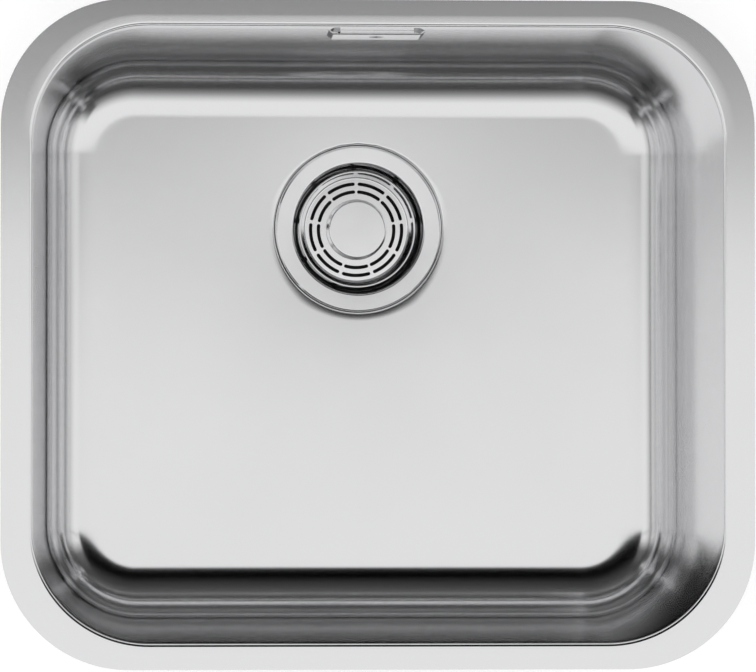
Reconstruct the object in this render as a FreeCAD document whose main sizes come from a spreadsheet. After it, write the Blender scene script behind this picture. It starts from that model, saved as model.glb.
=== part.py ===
"""Undermount kitchen sink: pressed bowl, basket strainer waste and slot overflow.

Frame: millimetres, +Z up, origin at the centre of the bowl opening in the plane of the rim's top
face, which is the face that seats against the underside of a worktop. +Y is the back, where the
overflow is. The waste and its strainer are drawn in a frame at the drain, at the height of the
bowl's floor; the overflow in a frame on the back wall's inner face, with its Z up along the wall.
"""
import FreeCAD, Part
import math
import os
import re

import Sketcher

Vector = FreeCAD.Vector
Rotation = FreeCAD.Rotation
Placement = FreeCAD.Placement

# Driving dimensions, in millimetres and degrees. Each can be changed by itself.
SIZES = {
    # Bowl, one sheet of stainless steel
    "opening_width": 450.0,
    "opening_length": 400.0,
    "opening_corner": 76.0,
    "rim_side": 20.0,
    "rim_end": 17.0,
    "rim_corner": 83.0,
    "bowl_height": 180.0,
    "steel": 1.0,
    "wall_draft": 5.7,
    "floor_fall": 1.2,
    "floor_bend": 36.0,
    "lip_bend": 2.5,
    # Drain, behind the middle of the bowl, with a recess that the flange lies in
    "drain_back": 75.0,
    "recess_play": 1.0,
    "recess_drop": 3.0,
    "recess_bend": 1.0,
    # Waste flange and its cup
    "cup_radius": 43.0,
    "mouth_flare": 1.0,
    "mouth_sink": 0.25,
    "mouth_height": 9.5,
    "flange_land": 10.5,
    "flange_bevel": 1.8,
    "flange_edge": 0.35,
    "flange_sheet": 1.2,
    "flange_seal_height": 1.5,
    "cup_bend": 3.6,
    "seat_width": 14.0,
    "seat_height": 6.0,
    "seat_corner": 0.7,
    "throat_height": 5.0,
    "web_count": 5.0,
    "web_width": 5.0,
    "web_height": 3.0,
    "web_drop": 1.0,
    "boss_drop": 2.0,
    "boss_wall": 3.7,
    "boss_height": 5.2,
    # Centre screw, which draws the flange and the body together
    "screw_radius": 5.0,
    "screw_overhang": 3.0,
    "screw_head_height": 3.5,
    "screw_length": 29.0,
    "screw_slot": 2.6,
    "screw_slot_drop": 1.6,
    "washer_overhang": 0.8,
    "washer_height": 0.8,
    "guide_play": 0.5,
    "guide_spare": 3.0,
    # Waste body, moulded
    "under_seal_height": 3.0,
    "chamber_gap": 3.3,
    "chamber_drop": 7.7,
    "body_wall": 3.0,
    "body_flange": 4.0,
    "body_funnel": 12.0,
    "rib_count": 8.0,
    "rib_inset": 1.5,
    "rib_width": 2.4,
    "rib_drop": 18.0,
    "outlet_radius": 23.9,
    "outlet_wall": 3.4,
    "outlet_length": 25.0,
    "collar_width": 3.1,
    "collar_height": 3.0,
    "spider_step": 2.0,
    "spider_count": 4.0,
    "spider_width": 3.0,
    "insert_wall": 1.5,
    "insert_height": 11.0,
    "hub_wall": 2.3,
    "hub_height": 17.0,
    # Strainer basket
    "rim_step": 0.5,
    "basket_play": 3.6,
    "basket_height": 10.0,
    "basket_lean": 3.0,
    "basket_sheet": 0.9,
    "bead_width": 1.4,
    "bead_height": 1.2,
    "bead_round": 0.45,
    "slot_count": 9.0,
    "slot_width": 2.3,
    "slot_edge": 4.2,
    "slot_pitch": 5.3,
    "slot_span": 32.0,
    # Knob, stem and seal of the strainer
    "knob_radius": 19.0,
    "knob_flare": 1.5,
    "knob_toe": 1.0,
    "knob_edge": 1.6,
    "knob_neck": 2.4,
    "knob_undercut": 1.4,
    "knob_round": 0.7,
    "knob_wall": 1.2,
    "knob_post": 3.0,
    "stem_radius": 3.0,
    "stem_tip": 1.0,
    "stem_reach": 17.0,
    "ring_section": 0.65,
    "ring_proud": 0.2,
    "ring_reach": 9.0,
    "seal_inset": 10.0,
    "seal_root": 2.2,
    "seal_edge": 1.1,
    "seal_hub": 12.0,
    "seal_hub_height": 3.2,
    "seal_plate_overhang": 2.0,
    "seal_plate_height": 1.0,
    "nut_flats": 10.0,
    "nut_height": 3.2,
    # Overflow
    "overflow_drop": 27.0,
    "slot_hole_width": 50.0,
    "slot_hole_height": 12.0,
    "cover_side": 6.5,
    "cover_end": 4.0,
    "cover_cheek": 3.0,
    "cover_proud": 3.0,
    "cover_sheet": 0.8,
    "cover_bend": 0.7,
    "cover_gap": 4.5,
    "cover_screw": 2.5,
    "cover_screw_overhang": 2.1,
    "cover_screw_spare": 2.2,
    "cross_length": 5.6,
    "cross_width": 1.1,
    "cross_depth": 1.2,
    "head_margin": 9.0,
    "head_thickness": 15.5,
    "head_wall": 2.0,
    "head_corner": 7.0,
    "gasket_height": 2.0,
    "gasket_land": 5.0,
    "overflow_insert_wall": 1.0,
    "overflow_insert_length": 7.0,
    "pillar_wall": 1.3,
    "spigot_radius": 8.2,
    "spigot_wall": 2.6,
    "spigot_length": 18.0,
    # Hose from the overflow to the waste body
    "hose_bore": 7.2,
    "hose_wall": 1.0,
    "hose_rib": 1.3,
    "hose_pitch": 4.2,
    "hose_gap": 1.2,
    "hose_end_gap": 1.0,
    "cuff_wall": 1.4,
    "cuff_spare": 3.0,
    "cuff_taper": 1.0,
    "clip_width": 6.0,
    "clip_band": 1.0,
    "inlet_rise": 14.0,
    "inlet_wall": 2.7,
    "inlet_length": 17.5,
    "socket_depth": 12.0,
    "socket_spare": 2.0,
    "union_wall": 3.9,
    "union_length": 17.0,
    "union_collar": 1.5,
    "union_notch": 1.2,
    "grip_count": 18.0,
    "cone_seal_height": 4.0,
    # Sound-deadening pads under the floor and on the side walls
    "pad_height": 2.5,
    "pad_corner": 12.0,
    "pad_inset": 20.0,
    "pad_gap": 10.0,
    "front_pad_away": 70.0,
    "side_pad_away": 80.0,
    "wall_pad_inset": 40.0,
    "wall_pad_margin": 45.0,
    # Clearances: pieces that touch or are clamped, and pieces that move
    "fit": 0.1,
    "running": 0.3,
}

# What follows from them. Heights named at the drain are measured from the bowl's floor there.
DERIVED = {
    # Radii at the drain, from the cup outwards
    "mouth_radius": "cup_radius + mouth_flare",
    "drain_hole": "mouth_radius + flange_sheet + running",
    "flange_radius": "drain_hole + flange_land",
    "recess_radius": "flange_radius + recess_play",
    "throat_radius": "cup_radius - seat_width",
    "body_bore": "cup_radius + flange_sheet + chamber_gap",
    "body_radius": "body_bore + body_wall",
    "outlet_bore": "outlet_radius - outlet_wall",
    "collar_radius": "outlet_radius + collar_width",
    # Radii round the centre screw
    "guide_radius": "stem_radius + guide_play",
    "screw_head": "screw_radius + screw_overhang",
    "washer_radius": "screw_head + washer_overhang",
    "boss_radius": "screw_radius + running + boss_wall",
    "insert_radius": "screw_radius + fit + insert_wall",
    "hub_radius": "insert_radius + fit + hub_wall",
    # Radii of the strainer
    "basket_rim": "cup_radius - basket_play",
    "basket_bead": "basket_rim - bead_width",
    "basket_floor": "basket_bead - basket_lean",
    "slot_outer": "basket_floor - slot_edge",
    "slot_inner": "slot_outer - slot_pitch",
    "knob_foot": "knob_radius + knob_flare",
    "knob_waist": "knob_radius - knob_undercut",
    "post_radius": "stem_radius + knob_post",
    "seal_radius": "cup_radius - seal_inset",
    "seal_plate_radius": "seal_hub + seal_plate_overhang",
    # Heights at the drain, from the flange down through the strainer to the screw that it stops on
    "flange_top": "-recess_drop + flange_seal_height + flange_sheet",
    "rim_top": "flange_top - mouth_height - rim_step",
    "plate_top": "rim_top - basket_height",
    "plate_low": "plate_top - basket_sheet",
    "knob_low": "plate_top + fit",
    "stem_top": "rim_top - 1.5 * knob_wall",
    "seal_low": "plate_low - seal_hub_height",
    "seal_plate_low": "seal_low - seal_plate_height",
    "nut_top": "seal_plate_low - fit",
    "head_top": "nut_top - nut_height - running",
    "head_low": "head_top - screw_head_height",
    "boss_top": "head_low - washer_height",
    "seat_low": "boss_top + boss_drop",
    "cup_low": "seat_low + seat_height",
    "throat_low": "seat_low - throat_height",
    "stem_low": "head_top - stem_reach",
    "ring_height": "head_top - ring_reach",
    "screw_low": "head_low - screw_length",
    "seat_slope": "seat_height / seat_width",
    "seal_edge_low": "cup_low - seal_inset * seat_slope + running / cos(atan(seat_slope))",
    # Heights of the waste body
    "body_top": "-recess_drop - steel - under_seal_height",
    "body_low": "throat_low - chamber_drop",
    "funnel_low": "body_low - body_funnel",
    "collar_low": "funnel_low - body_wall / 2 - collar_height",
    "outlet_low": "collar_low - outlet_length",
    "hub_low": "screw_low - body_wall",
    "inlet_at": "body_low + inlet_rise",
    "inlet_end": "body_radius + inlet_length",
    "inlet_radius": "cuff_radius + fit + inlet_wall",
    "union_radius": "inlet_radius + fit + union_wall",
    # Overflow, outwards from the back wall's inner face
    "cover_height": "slot_hole_height + 2 * cover_end",
    "cover_foot": "slot_hole_width / 2 + cover_side",
    "cover_face": "cover_foot - cover_cheek",
    "cover_screw_head": "cover_screw + cover_screw_overhang",
    "cover_screw_seat": "-cover_proud + cover_screw_overhang",
    "gasket_front": "steel + fit",
    "head_front": "gasket_front + gasket_height + fit",
    "head_back": "head_front + head_thickness",
    "head_width": "slot_hole_width + 2 * head_margin",
    "head_height": "slot_hole_height + 2 * head_margin",
    "pillar_back": "head_back - 1.5 * head_wall",
    "overflow_insert_radius": "cover_screw + fit + overflow_insert_wall",
    "pillar_radius": "overflow_insert_radius + fit + pillar_wall",
    "spigot_low": "-head_height / 2 - spigot_length",
    # Hose
    "cuff_bore": "spigot_radius + fit",
    "cuff_radius": "cuff_bore + cuff_wall",
    "cuff_length": "spigot_length + cuff_spare",
    "clip_radius": "cuff_radius + fit + clip_band",
    "hose_out": "steel + hose_gap + clip_radius",
    "hose_valley": "hose_bore + hose_wall",
    "hose_crest": "hose_valley + hose_rib",
    # Flat part of the floor, and the pads' places on it
    "wall_lean": "bowl_height * tan(wall_draft)",
    "floor_half_width": "opening_width / 2 - wall_lean - floor_bend",
    "floor_half_length": "opening_length / 2 - wall_lean - floor_bend",
    "floor_at_axis": "-bowl_height - recess_radius * tan(floor_fall)",
    "front_pad_back": "drain_back - front_pad_away",
    "front_pad_front": "-floor_half_length + pad_inset",
    "side_pad_front": "front_pad_back + pad_gap",
    "side_pad_back": "floor_half_length - pad_inset",
    "side_pad_out": "floor_half_width - pad_inset",
    "wall_pad_width": "opening_length - 2 * opening_corner - 2 * wall_pad_inset",
    "wall_pad_height": "bowl_height - 2 * wall_pad_margin",
    "wall_pad_drop": "bowl_height / 2",
}

doc = FreeCAD.newDocument("undermount_sink")
sheet = doc.addObject("Spreadsheet::Sheet", "sizes")
for row, (alias, size) in enumerate(SIZES.items(), start=1):
    sheet.set(f"A{row}", alias)
    sheet.set(f"B{row}", str(size))
    sheet.setAlias(f"B{row}", alias)
doc.recompute()


# ---------------------------------------------------------------- working with the sheet

def formula(text):
    """An expression in named sizes, as one in which only cells of the sheet are named."""

    def on_sheet(match):
        word = match.group()
        if word in DERIVED:
            return f"({formula(DERIVED[word])})"
        return f"sizes.{word}" if word in SIZES else word

    return re.sub(r"[a-z]\w+", on_sheet, text)


def value(text):
    """What that expression comes to, in millimetres."""
    return float(sheet.evalExpression(formula(text)))


def bind(thing, setting, text):
    thing.setExpression(setting, formula(text))


# ---------------------------------------------------------------- bodies and sketches

def body_at(label, x="0", y="0", z="0", tilt=None):
    """A body whose frame stands at x, y, z, turned about X by tilt."""
    body = doc.addObject("PartDesign::Body", label)
    if tilt:
        body.Placement = Placement(Vector(), Rotation(Vector(1, 0, 0), 1))
        bind(body, "Placement.Rotation.Angle", tilt)
    for axis, text in (("x", x), ("y", y), ("z", z)):
        bind(body, f"Placement.Base.{axis}", text)
    return body


def drain_body(label):
    return body_at(label, y="drain_back", z="-bowl_height")


def overflow_body(label):
    """Its XZ plane is the inner face of the back wall, and its Y points out through the wall."""
    return body_at(label, y="opening_length / 2 - overflow_drop * sin(wall_draft)",
                   z="-overflow_drop * cos(wall_draft)", tilt="-wall_draft")


def sketch_on(body, role, name, lift="0"):
    """A sketch on one of the body's own origin planes, lifted along that plane's normal."""
    sketch = body.newObject("Sketcher::SketchObject", name)
    plane = next(item for item in body.Origin.OriginFeatures if item.Role == role)
    sketch.AttachmentSupport = [(plane, "")]
    sketch.MapMode = "FlatFace"
    bind(sketch, "AttachmentOffset.Base.z", lift)
    return sketch


def set_distance(sketch, kind, first, second, text):
    """A distance along X or Y between two points, each given as (geometry, end)."""
    index = sketch.addConstraint(Sketcher.Constraint(kind, *first, *second, value(text)))
    bind(sketch, f"Constraints[{index}]", text)


def draw_polygon(sketch, corners):
    """A closed outline through corners, each of them two expressions."""
    spots = [Vector(value(x), value(y)) for x, y in corners]
    lines = [Part.LineSegment(spot, spots[(i + 1) % len(spots)]) for i, spot in enumerate(spots)]
    first = sketch.addGeometry(lines, False)[0]
    for i, (x, y) in enumerate(corners):
        line = first + i
        after = first + (i + 1) % len(corners)
        sketch.addConstraint(Sketcher.Constraint("Coincident", line, 2, after, 1))
        set_distance(sketch, "DistanceX", (-1, 1), (line, 1), x)
        set_distance(sketch, "DistanceY", (-1, 1), (line, 1), y)


def draw_circle(sketch, radius, x="0", y="0"):
    circle = Part.Circle(Vector(value(x), value(y)), Vector(0, 0, 1), value(radius))
    index = sketch.addGeometry(circle, False)
    set_distance(sketch, "DistanceX", (-1, 1), (index, 3), x)
    set_distance(sketch, "DistanceY", (-1, 1), (index, 3), y)
    size = sketch.addConstraint(Sketcher.Constraint("Radius", index, value(radius)))
    bind(sketch, f"Constraints[{size}]", radius)


def draw_rounded_rectangle(sketch, width, length, corner, x="0", y="0"):
    """A rectangle with round corners, centred on x, y."""
    right, top, r = value(width) / 2, value(length) / 2, value(corner)
    middle = Vector(value(x), value(y))
    sides = []
    arcs = []
    for quarter, (reach, span) in enumerate(((top, right), (right, top)) * 2):
        # The side below the middle, turned a quarter at a time, and the corner that follows it
        turn = Rotation(Vector(0, 0, 1), 90 * quarter)
        start = middle + turn.multVec(Vector(r - span, -reach))
        end = middle + turn.multVec(Vector(span - r, -reach))
        centre = middle + turn.multVec(Vector(span - r, r - reach))
        sides.append(Part.LineSegment(start, end))
        begin = math.radians(90 * quarter - 90)
        arcs.append(Part.ArcOfCircle(Part.Circle(centre, Vector(0, 0, 1), r), begin, begin + math.pi / 2))
    first = sketch.addGeometry(sides + arcs, False)[0]
    side = [first + i for i in range(4)]
    arc = [first + 4 + i for i in range(4)]
    rules = []
    for i in range(4):
        rules.append(Sketcher.Constraint("Tangent", side[i], 2, arc[i], 1))
        rules.append(Sketcher.Constraint("Tangent", arc[i], 2, side[(i + 1) % 4], 1))
        rules.append(Sketcher.Constraint("Horizontal" if i % 2 == 0 else "Vertical", side[i]))
    rules += [Sketcher.Constraint("Equal", arc[i], arc[i + 1]) for i in range(3)]
    sketch.addConstraint(rules)
    set_distance(sketch, "DistanceX", (side[3], 1), (side[1], 1), width)
    set_distance(sketch, "DistanceY", (side[0], 1), (side[2], 1), length)
    set_distance(sketch, "DistanceX", (-1, 1), (side[1], 1), f"{x} + {width} / 2")
    set_distance(sketch, "DistanceY", (-1, 1), (side[2], 1), f"{y} + {length} / 2")
    size = sketch.addConstraint(Sketcher.Constraint("Radius", arc[0], r))
    bind(sketch, f"Constraints[{size}]", corner)


def draw_arc_slot(sketch, radius, width, span):
    """A slot of even width that follows a circle about the origin, centred on the X axis."""
    mid, half, reach = value(radius), value(width) / 2, math.radians(value(span) / 2)
    up = Vector(0, 0, 1)
    inner = sketch.addGeometry(Part.ArcOfCircle(Part.Circle(Vector(), up, mid - half), -reach, reach), False)
    outer = sketch.addGeometry(Part.ArcOfCircle(Part.Circle(Vector(), up, mid + half), -reach, reach), False)
    ends = []
    for side in (-1, 1):
        centre = Vector(mid * math.cos(reach), side * mid * math.sin(reach))
        # The lower end runs from the inner arc round to the outer one, the upper end back again
        begin = reach * side + (0 if side > 0 else math.pi)
        ends.append(sketch.addGeometry(Part.ArcOfCircle(Part.Circle(centre, up, half), begin, begin + math.pi), False))
    lower, upper = ends
    for arc in (inner, outer):
        sketch.addConstraint(Sketcher.Constraint("Coincident", arc, 3, -1, 1))
    sketch.addConstraint([
        Sketcher.Constraint("Tangent", lower, 1, inner, 1),
        Sketcher.Constraint("Tangent", lower, 2, outer, 1),
        Sketcher.Constraint("Tangent", outer, 2, upper, 1),
        Sketcher.Constraint("Tangent", upper, 2, inner, 2),
    ])
    for arc, text in ((inner, f"{radius} - {width} / 2"), (outer, f"{radius} + {width} / 2")):
        size = sketch.addConstraint(Sketcher.Constraint("Radius", arc, value(text)))
        bind(sketch, f"Constraints[{size}]", text)
    for end, side in ((upper, ""), (lower, "-")):
        set_distance(sketch, "DistanceY", (-1, 1), (end, 3), f"{side}{radius} * sin({span} / 2)")


# ---------------------------------------------------------------- features

def pad(body, sketch, length, reverse=False, both_ways=False):
    feature = body.newObject("PartDesign::Pad", "Pad")
    feature.Profile = sketch
    feature.Reversed = reverse
    feature.Midplane = both_ways
    bind(feature, "Length", length)
    doc.recompute()
    return feature


def pocket(body, sketch, length, reverse=False, both_ways=False):
    """Cuts along the sketch's negative normal, or along its normal if reversed."""
    before = body.Tip.Shape.Volume
    feature = body.newObject("PartDesign::Pocket", "Pocket")
    feature.Profile = sketch
    feature.Reversed = reverse
    feature.Midplane = both_ways
    bind(feature, "Length", length)
    doc.recompute()
    if feature.Shape.Volume > before - 1e-3:
        raise RuntimeError(f"{body.Label}: {sketch.Name} cuts nothing")
    return feature


def turn(body, sketch, groove=False):
    """Turns the sketch a full circle about its own vertical axis."""
    kind = "PartDesign::Groove" if groove else "PartDesign::Revolution"
    feature = body.newObject(kind, "Groove" if groove else "Revolution")
    feature.Profile = sketch
    feature.ReferenceAxis = (sketch, ["V_Axis"])
    feature.Angle = 360
    doc.recompute()
    return feature


def repeat_round(body, feature, count, axis="Z_Axis"):
    """A polar pattern of one feature about one of the body's axes."""
    pattern = body.newObject("PartDesign::PolarPattern", "PolarPattern")
    pattern.Originals = [feature]
    pattern.Axis = (next(item for item in body.Origin.OriginFeatures if item.Role == axis), [""])
    pattern.Angle = 360
    bind(pattern, "Occurrences", count)
    body.Tip = pattern
    doc.recompute()
    return pattern


def edge_names(shape, wanted):
    return [f"Edge{i}" for i, edge in enumerate(shape.Edges, start=1) if wanted(edge)]


def round_off(body, radius, wanted):
    """Fillets those edges of the body's last feature that the test picks."""
    base = body.Tip
    names = edge_names(base.Shape, wanted)
    if not names:
        raise RuntimeError(f"{body.Label}: no edge to round")
    feature = body.newObject("PartDesign::Fillet", "Fillet")
    feature.Base = (base, names)
    bind(feature, "Radius", radius)
    doc.recompute()
    return feature


def circle_at(*spots):
    """A test for the circles about the Z axis at these radii and heights, given as expressions."""
    places = [(value(radius), value(height)) for radius, height in spots]

    def wanted(edge):
        curve = edge.Curve
        if curve.TypeId != "Part::GeomCircle" or abs(curve.Center.x) + abs(curve.Center.y) > 1e-6:
            return False
        return any(abs(curve.Radius - r) < 1e-4 and abs(curve.Center.z - z) < 1e-4 for r, z in places)

    return wanted


def upright(edge):
    """A test for straight edges along the body's Z axis."""
    return edge.Curve.TypeId == "Part::GeomLine" and abs(edge.tangentAt(edge.FirstParameter).z) > 0.999


def turned(body, corners):
    """Turns a closed profile, corners given as (radius, height), and returns the body."""
    sketch = sketch_on(body, "XZ_Plane", "Profile")
    draw_polygon(sketch, corners)
    turn(body, sketch)
    return body


def ring(body, inner, outer, bottom, top):
    return turned(body, [(inner, bottom), (outer, bottom), (outer, top), (inner, top)])


# ---------------------------------------------------------------- bowl

def pressed_form(label, grow):
    """The bowl as a solid: drafted walls, a floor that falls to the drain, and the drain's recess.

    grow is 0 for the inside of the sheet and its thickness for the outside.
    """
    body = body_at(label)
    outline = sketch_on(body, "XY_Plane", "Outline")
    side = f"{grow} / cos(wall_draft)"
    draw_rounded_rectangle(outline, f"(opening_width + 2 * {side})", f"(opening_length + 2 * {side})",
                           f"(opening_corner + {side})")
    walls = pad(body, outline, "bowl_height + floor_bend", reverse=True)
    draft = body.newObject("PartDesign::Draft", "Draft")
    draft.Base = (walls, [f"Face{i}" for i, face in enumerate(walls.Shape.Faces, start=1)
                          if abs(face.normalAt(0, 0).z) < 0.1])
    draft.NeutralPlane = (next(item for item in body.Origin.OriginFeatures if item.Role == "XY_Plane"), [""])
    draft.Reversed = True
    bind(draft, "Angle", "wall_draft")
    doc.recompute()
    floor = sketch_on(body, "XZ_Plane", "Floor", lift="-drain_back")
    low = f"(floor_at_axis - {grow} / cos(floor_fall))"
    reach = "(opening_width + opening_length)"
    under = "-bowl_height - 2 * floor_bend"
    draw_polygon(floor, [("0", low), (reach, f"{low} + {reach} * tan(floor_fall)"), (reach, under), ("0", under)])
    turn(body, floor, groove=True)
    round_off(body, f"floor_bend + {grow}", lambda edge: edge.BoundBox.ZMax < value("-bowl_height + floor_bend"))
    recess = sketch_on(body, "XZ_Plane", "Recess", lift="-drain_back")
    edge = f"(recess_radius + {grow})"
    deep = f"(-bowl_height - recess_drop - {grow})"
    above = "-bowl_height + recess_drop"
    draw_polygon(recess, [("0", deep), (edge, deep), (edge, above), ("0", above)])
    turn(body, recess)
    return body


def rim_plate():
    body = body_at("rim_plate")
    outline = sketch_on(body, "XY_Plane", "Outline")
    draw_rounded_rectangle(outline, "(opening_width + 2 * rim_side)", "(opening_length + 2 * rim_end)", "rim_corner")
    pad(body, outline, "steel", reverse=True)
    return body


def drain_punch():
    body = drain_body("drain_punch")
    below = "-recess_drop - 2 * steel"
    return turned(body, [("0", below), ("drain_hole", below), ("drain_hole", "0"), ("0", "0")])


def overflow_punch():
    """The oblong hole behind the overflow cover."""
    body = overflow_body("overflow_punch")
    outline = sketch_on(body, "XZ_Plane", "Outline")
    draw_rounded_rectangle(outline, "slot_hole_width", "slot_hole_height", "slot_hole_height / 2 - fit")
    pad(body, outline, "6 * steel", both_ways=True)
    return body


def boolean(kind, label, base, tool):
    """A Part::Cut or Part::Fuse of two shapes."""
    result = doc.addObject(kind, label)
    result.Base = base
    result.Tool = tool
    doc.recompute()
    return result


def rounded(label, base, choices):
    """A Part::Fillet of a base's edges, choices being pairs of a radius and a test for edges."""
    result = doc.addObject("Part::Fillet", label)
    result.Base = base
    edges = []
    for radius, wanted in choices:
        size = value(radius)
        edges += [(i, size, size) for i, edge in enumerate(base.Shape.Edges, start=1) if wanted(edge)]
    result.Edges = edges
    doc.recompute()
    return result


def level_edge(height, width, length):
    """A test for the edges at one height that lie on a rounded rectangle's outline."""
    z, x, y = value(height), value(width) / 2, value(length) / 2

    def wanted(edge):
        box = edge.BoundBox
        if abs(box.ZMin - z) + abs(box.ZMax - z) > 1e-3:
            return False
        far = max(abs(box.XMin), abs(box.XMax)), max(abs(box.YMin), abs(box.YMax))
        return abs(far[0] - x) < 0.05 or abs(far[1] - y) < 0.05

    return wanted


def make_bowl():
    """One pressing: flat rim, drafted walls, floor, drain recess and hole, overflow hole."""
    inside = pressed_form("bowl_inside", "0")
    outside = pressed_form("bowl_outside", "steel")
    blank = boolean("Part::Fuse", "bowl_blank", rim_plate(), outside)
    shell = boolean("Part::Cut", "bowl_shell", blank, inside)
    drained = boolean("Part::Cut", "bowl_drained", shell, drain_punch())
    pierced = boolean("Part::Cut", "bowl_pierced", drained, overflow_punch())
    inner_edge = level_edge("0", "opening_width", "opening_length")
    shift = "2 * steel / cos(wall_draft) - 2 * steel * tan(wall_draft)"
    outer_edge = level_edge("-steel", f"opening_width + {shift}", f"opening_length + {shift}")

    def recess_edge(radius, height):
        r, z = value(radius), value(height)
        return lambda edge: (edge.Curve.TypeId == "Part::GeomCircle" and abs(edge.Curve.Radius - r) < 1e-3
                             and abs(edge.Curve.Center.z - z) < 0.3)

    return rounded("bowl", pierced, [
        ("lip_bend", inner_edge),
        ("lip_bend - steel", outer_edge),
        ("recess_bend", recess_edge("recess_radius", "-bowl_height")),
        ("recess_bend", recess_edge("recess_radius + steel", "-bowl_height - recess_drop - steel")),
    ])


# ---------------------------------------------------------------- sound-deadening pads

def floor_pad(label, left, right, front, back):
    """A flat sheet of damping rubber that follows the underside of the sloping floor."""
    block = body_at(f"{label}_outline")
    outline = sketch_on(block, "XY_Plane", "Outline", lift="-bowl_height - floor_bend")
    draw_rounded_rectangle(outline, f"({right} - {left})", f"({back} - {front})", "pad_corner",
                           f"({left} + {right}) / 2", f"({front} + {back}) / 2")
    pad(block, outline, "2 * floor_bend")
    layer = body_at(f"{label}_layer")
    top = "(floor_at_axis - steel / cos(floor_fall) - fit)"
    reach = "(opening_width / 2 + opening_length / 2)"
    profile = sketch_on(layer, "XZ_Plane", "Profile", lift="-drain_back")
    draw_polygon(profile, [("0", f"{top} - pad_height"), (reach, f"{top} - pad_height + {reach} * tan(floor_fall)"),
                           (reach, f"{top} + {reach} * tan(floor_fall)"), ("0", top)])
    turn(layer, profile)
    return boolean("Part::Common", label, block, layer)


def wall_pad(label, side):
    """A damping pad on a side wall; side is 1 for the right and -1 for the left."""
    body = body_at(label, x=f"{side} * (opening_width / 2 - wall_pad_drop * sin(wall_draft))",
                   z="-wall_pad_drop * cos(wall_draft)")
    body.Placement = Placement(body.Placement.Base, Rotation(Vector(0, 1, 0), 1))
    bind(body, "Placement.Rotation.Angle", f"{side} * wall_draft")
    outline = sketch_on(body, "YZ_Plane", "Outline", lift=f"{side} * (steel + fit)")
    draw_rounded_rectangle(outline, "wall_pad_width", "wall_pad_height", "pad_corner")
    pad(body, outline, "pad_height", reverse=side < 0)
    return body


def make_pads():
    return [
        floor_pad("floor_pad_front", "-side_pad_out", "side_pad_out", "front_pad_front", "front_pad_back"),
        floor_pad("floor_pad_left", "-side_pad_out", "-side_pad_away", "side_pad_front", "side_pad_back"),
        floor_pad("floor_pad_right", "side_pad_away", "side_pad_out", "side_pad_front", "side_pad_back"),
        wall_pad("wall_pad_left", -1),
        wall_pad("wall_pad_right", 1),
    ]


# ---------------------------------------------------------------- waste: flange, seals, screw, body

def make_flange():
    """Stainless cup with a flat flange, a conical seat for the strainer's seal, and a five-armed web."""
    body = drain_body("waste_flange")
    turned(body, [
        ("flange_radius", "flange_top - flange_sheet"),
        ("flange_radius", "flange_top - flange_sheet + flange_edge"),
        ("flange_radius - flange_bevel", "flange_top"),
        ("mouth_radius", "flange_top - mouth_sink"),
        ("cup_radius", "flange_top - mouth_height"),
        ("cup_radius", "cup_low"),
        ("throat_radius", "seat_low"),
        ("throat_radius", "throat_low"),
        ("throat_radius + flange_sheet", "throat_low"),
        ("throat_radius + flange_sheet", "seat_low - seat_corner"),
        ("cup_radius + flange_sheet", "cup_low - seat_corner"),
        ("cup_radius + flange_sheet", "flange_top - mouth_height"),
        ("mouth_radius + flange_sheet", "flange_top - flange_sheet"),
    ])
    round_off(body, "flange_sheet", circle_at(("mouth_radius", "flange_top - mouth_sink")))
    round_off(body, "cup_bend", circle_at(("cup_radius", "cup_low")))
    arm = sketch_on(body, "XY_Plane", "Arm", lift="boss_top - web_drop")
    reach = "throat_radius + flange_sheet / 2"
    draw_polygon(arm, [("-web_width / 2", "0"), ("web_width / 2", "0"), ("web_width / 2", reach),
                       ("-web_width / 2", reach)])
    repeat_round(body, pad(body, arm, "web_height", reverse=True), "web_count")
    boss = sketch_on(body, "XY_Plane", "Boss", lift="boss_top")
    draw_circle(boss, "boss_radius")
    pad(body, boss, "boss_height", reverse=True)
    bore = sketch_on(body, "XY_Plane", "Bore", lift="boss_top")
    draw_circle(bore, "screw_radius + running")
    pocket(body, bore, "2 * boss_height")
    return body


def make_centre_screw():
    """Slotted screw; the bore in its head guides the strainer's stem and holds it by its rubber ring."""
    body = drain_body("centre_screw")
    turned(body, [
        ("guide_radius", "head_top"),
        ("screw_head", "head_top"),
        ("screw_head", "head_low"),
        ("screw_radius", "head_low"),
        ("screw_radius", "screw_low"),
        ("0", "screw_low"),
        ("0", "stem_low - guide_spare"),
        ("guide_radius", "stem_low - guide_spare"),
    ])
    slot = sketch_on(body, "XY_Plane", "Slot", lift="head_top")
    reach = "(screw_head + fit)"
    draw_polygon(slot, [(f"-{reach}", "-screw_slot / 2"), (reach, "-screw_slot / 2"), (reach, "screw_slot / 2"),
                        (f"-{reach}", "screw_slot / 2")])
    pocket(body, slot, "screw_slot_drop")
    return body


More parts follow.
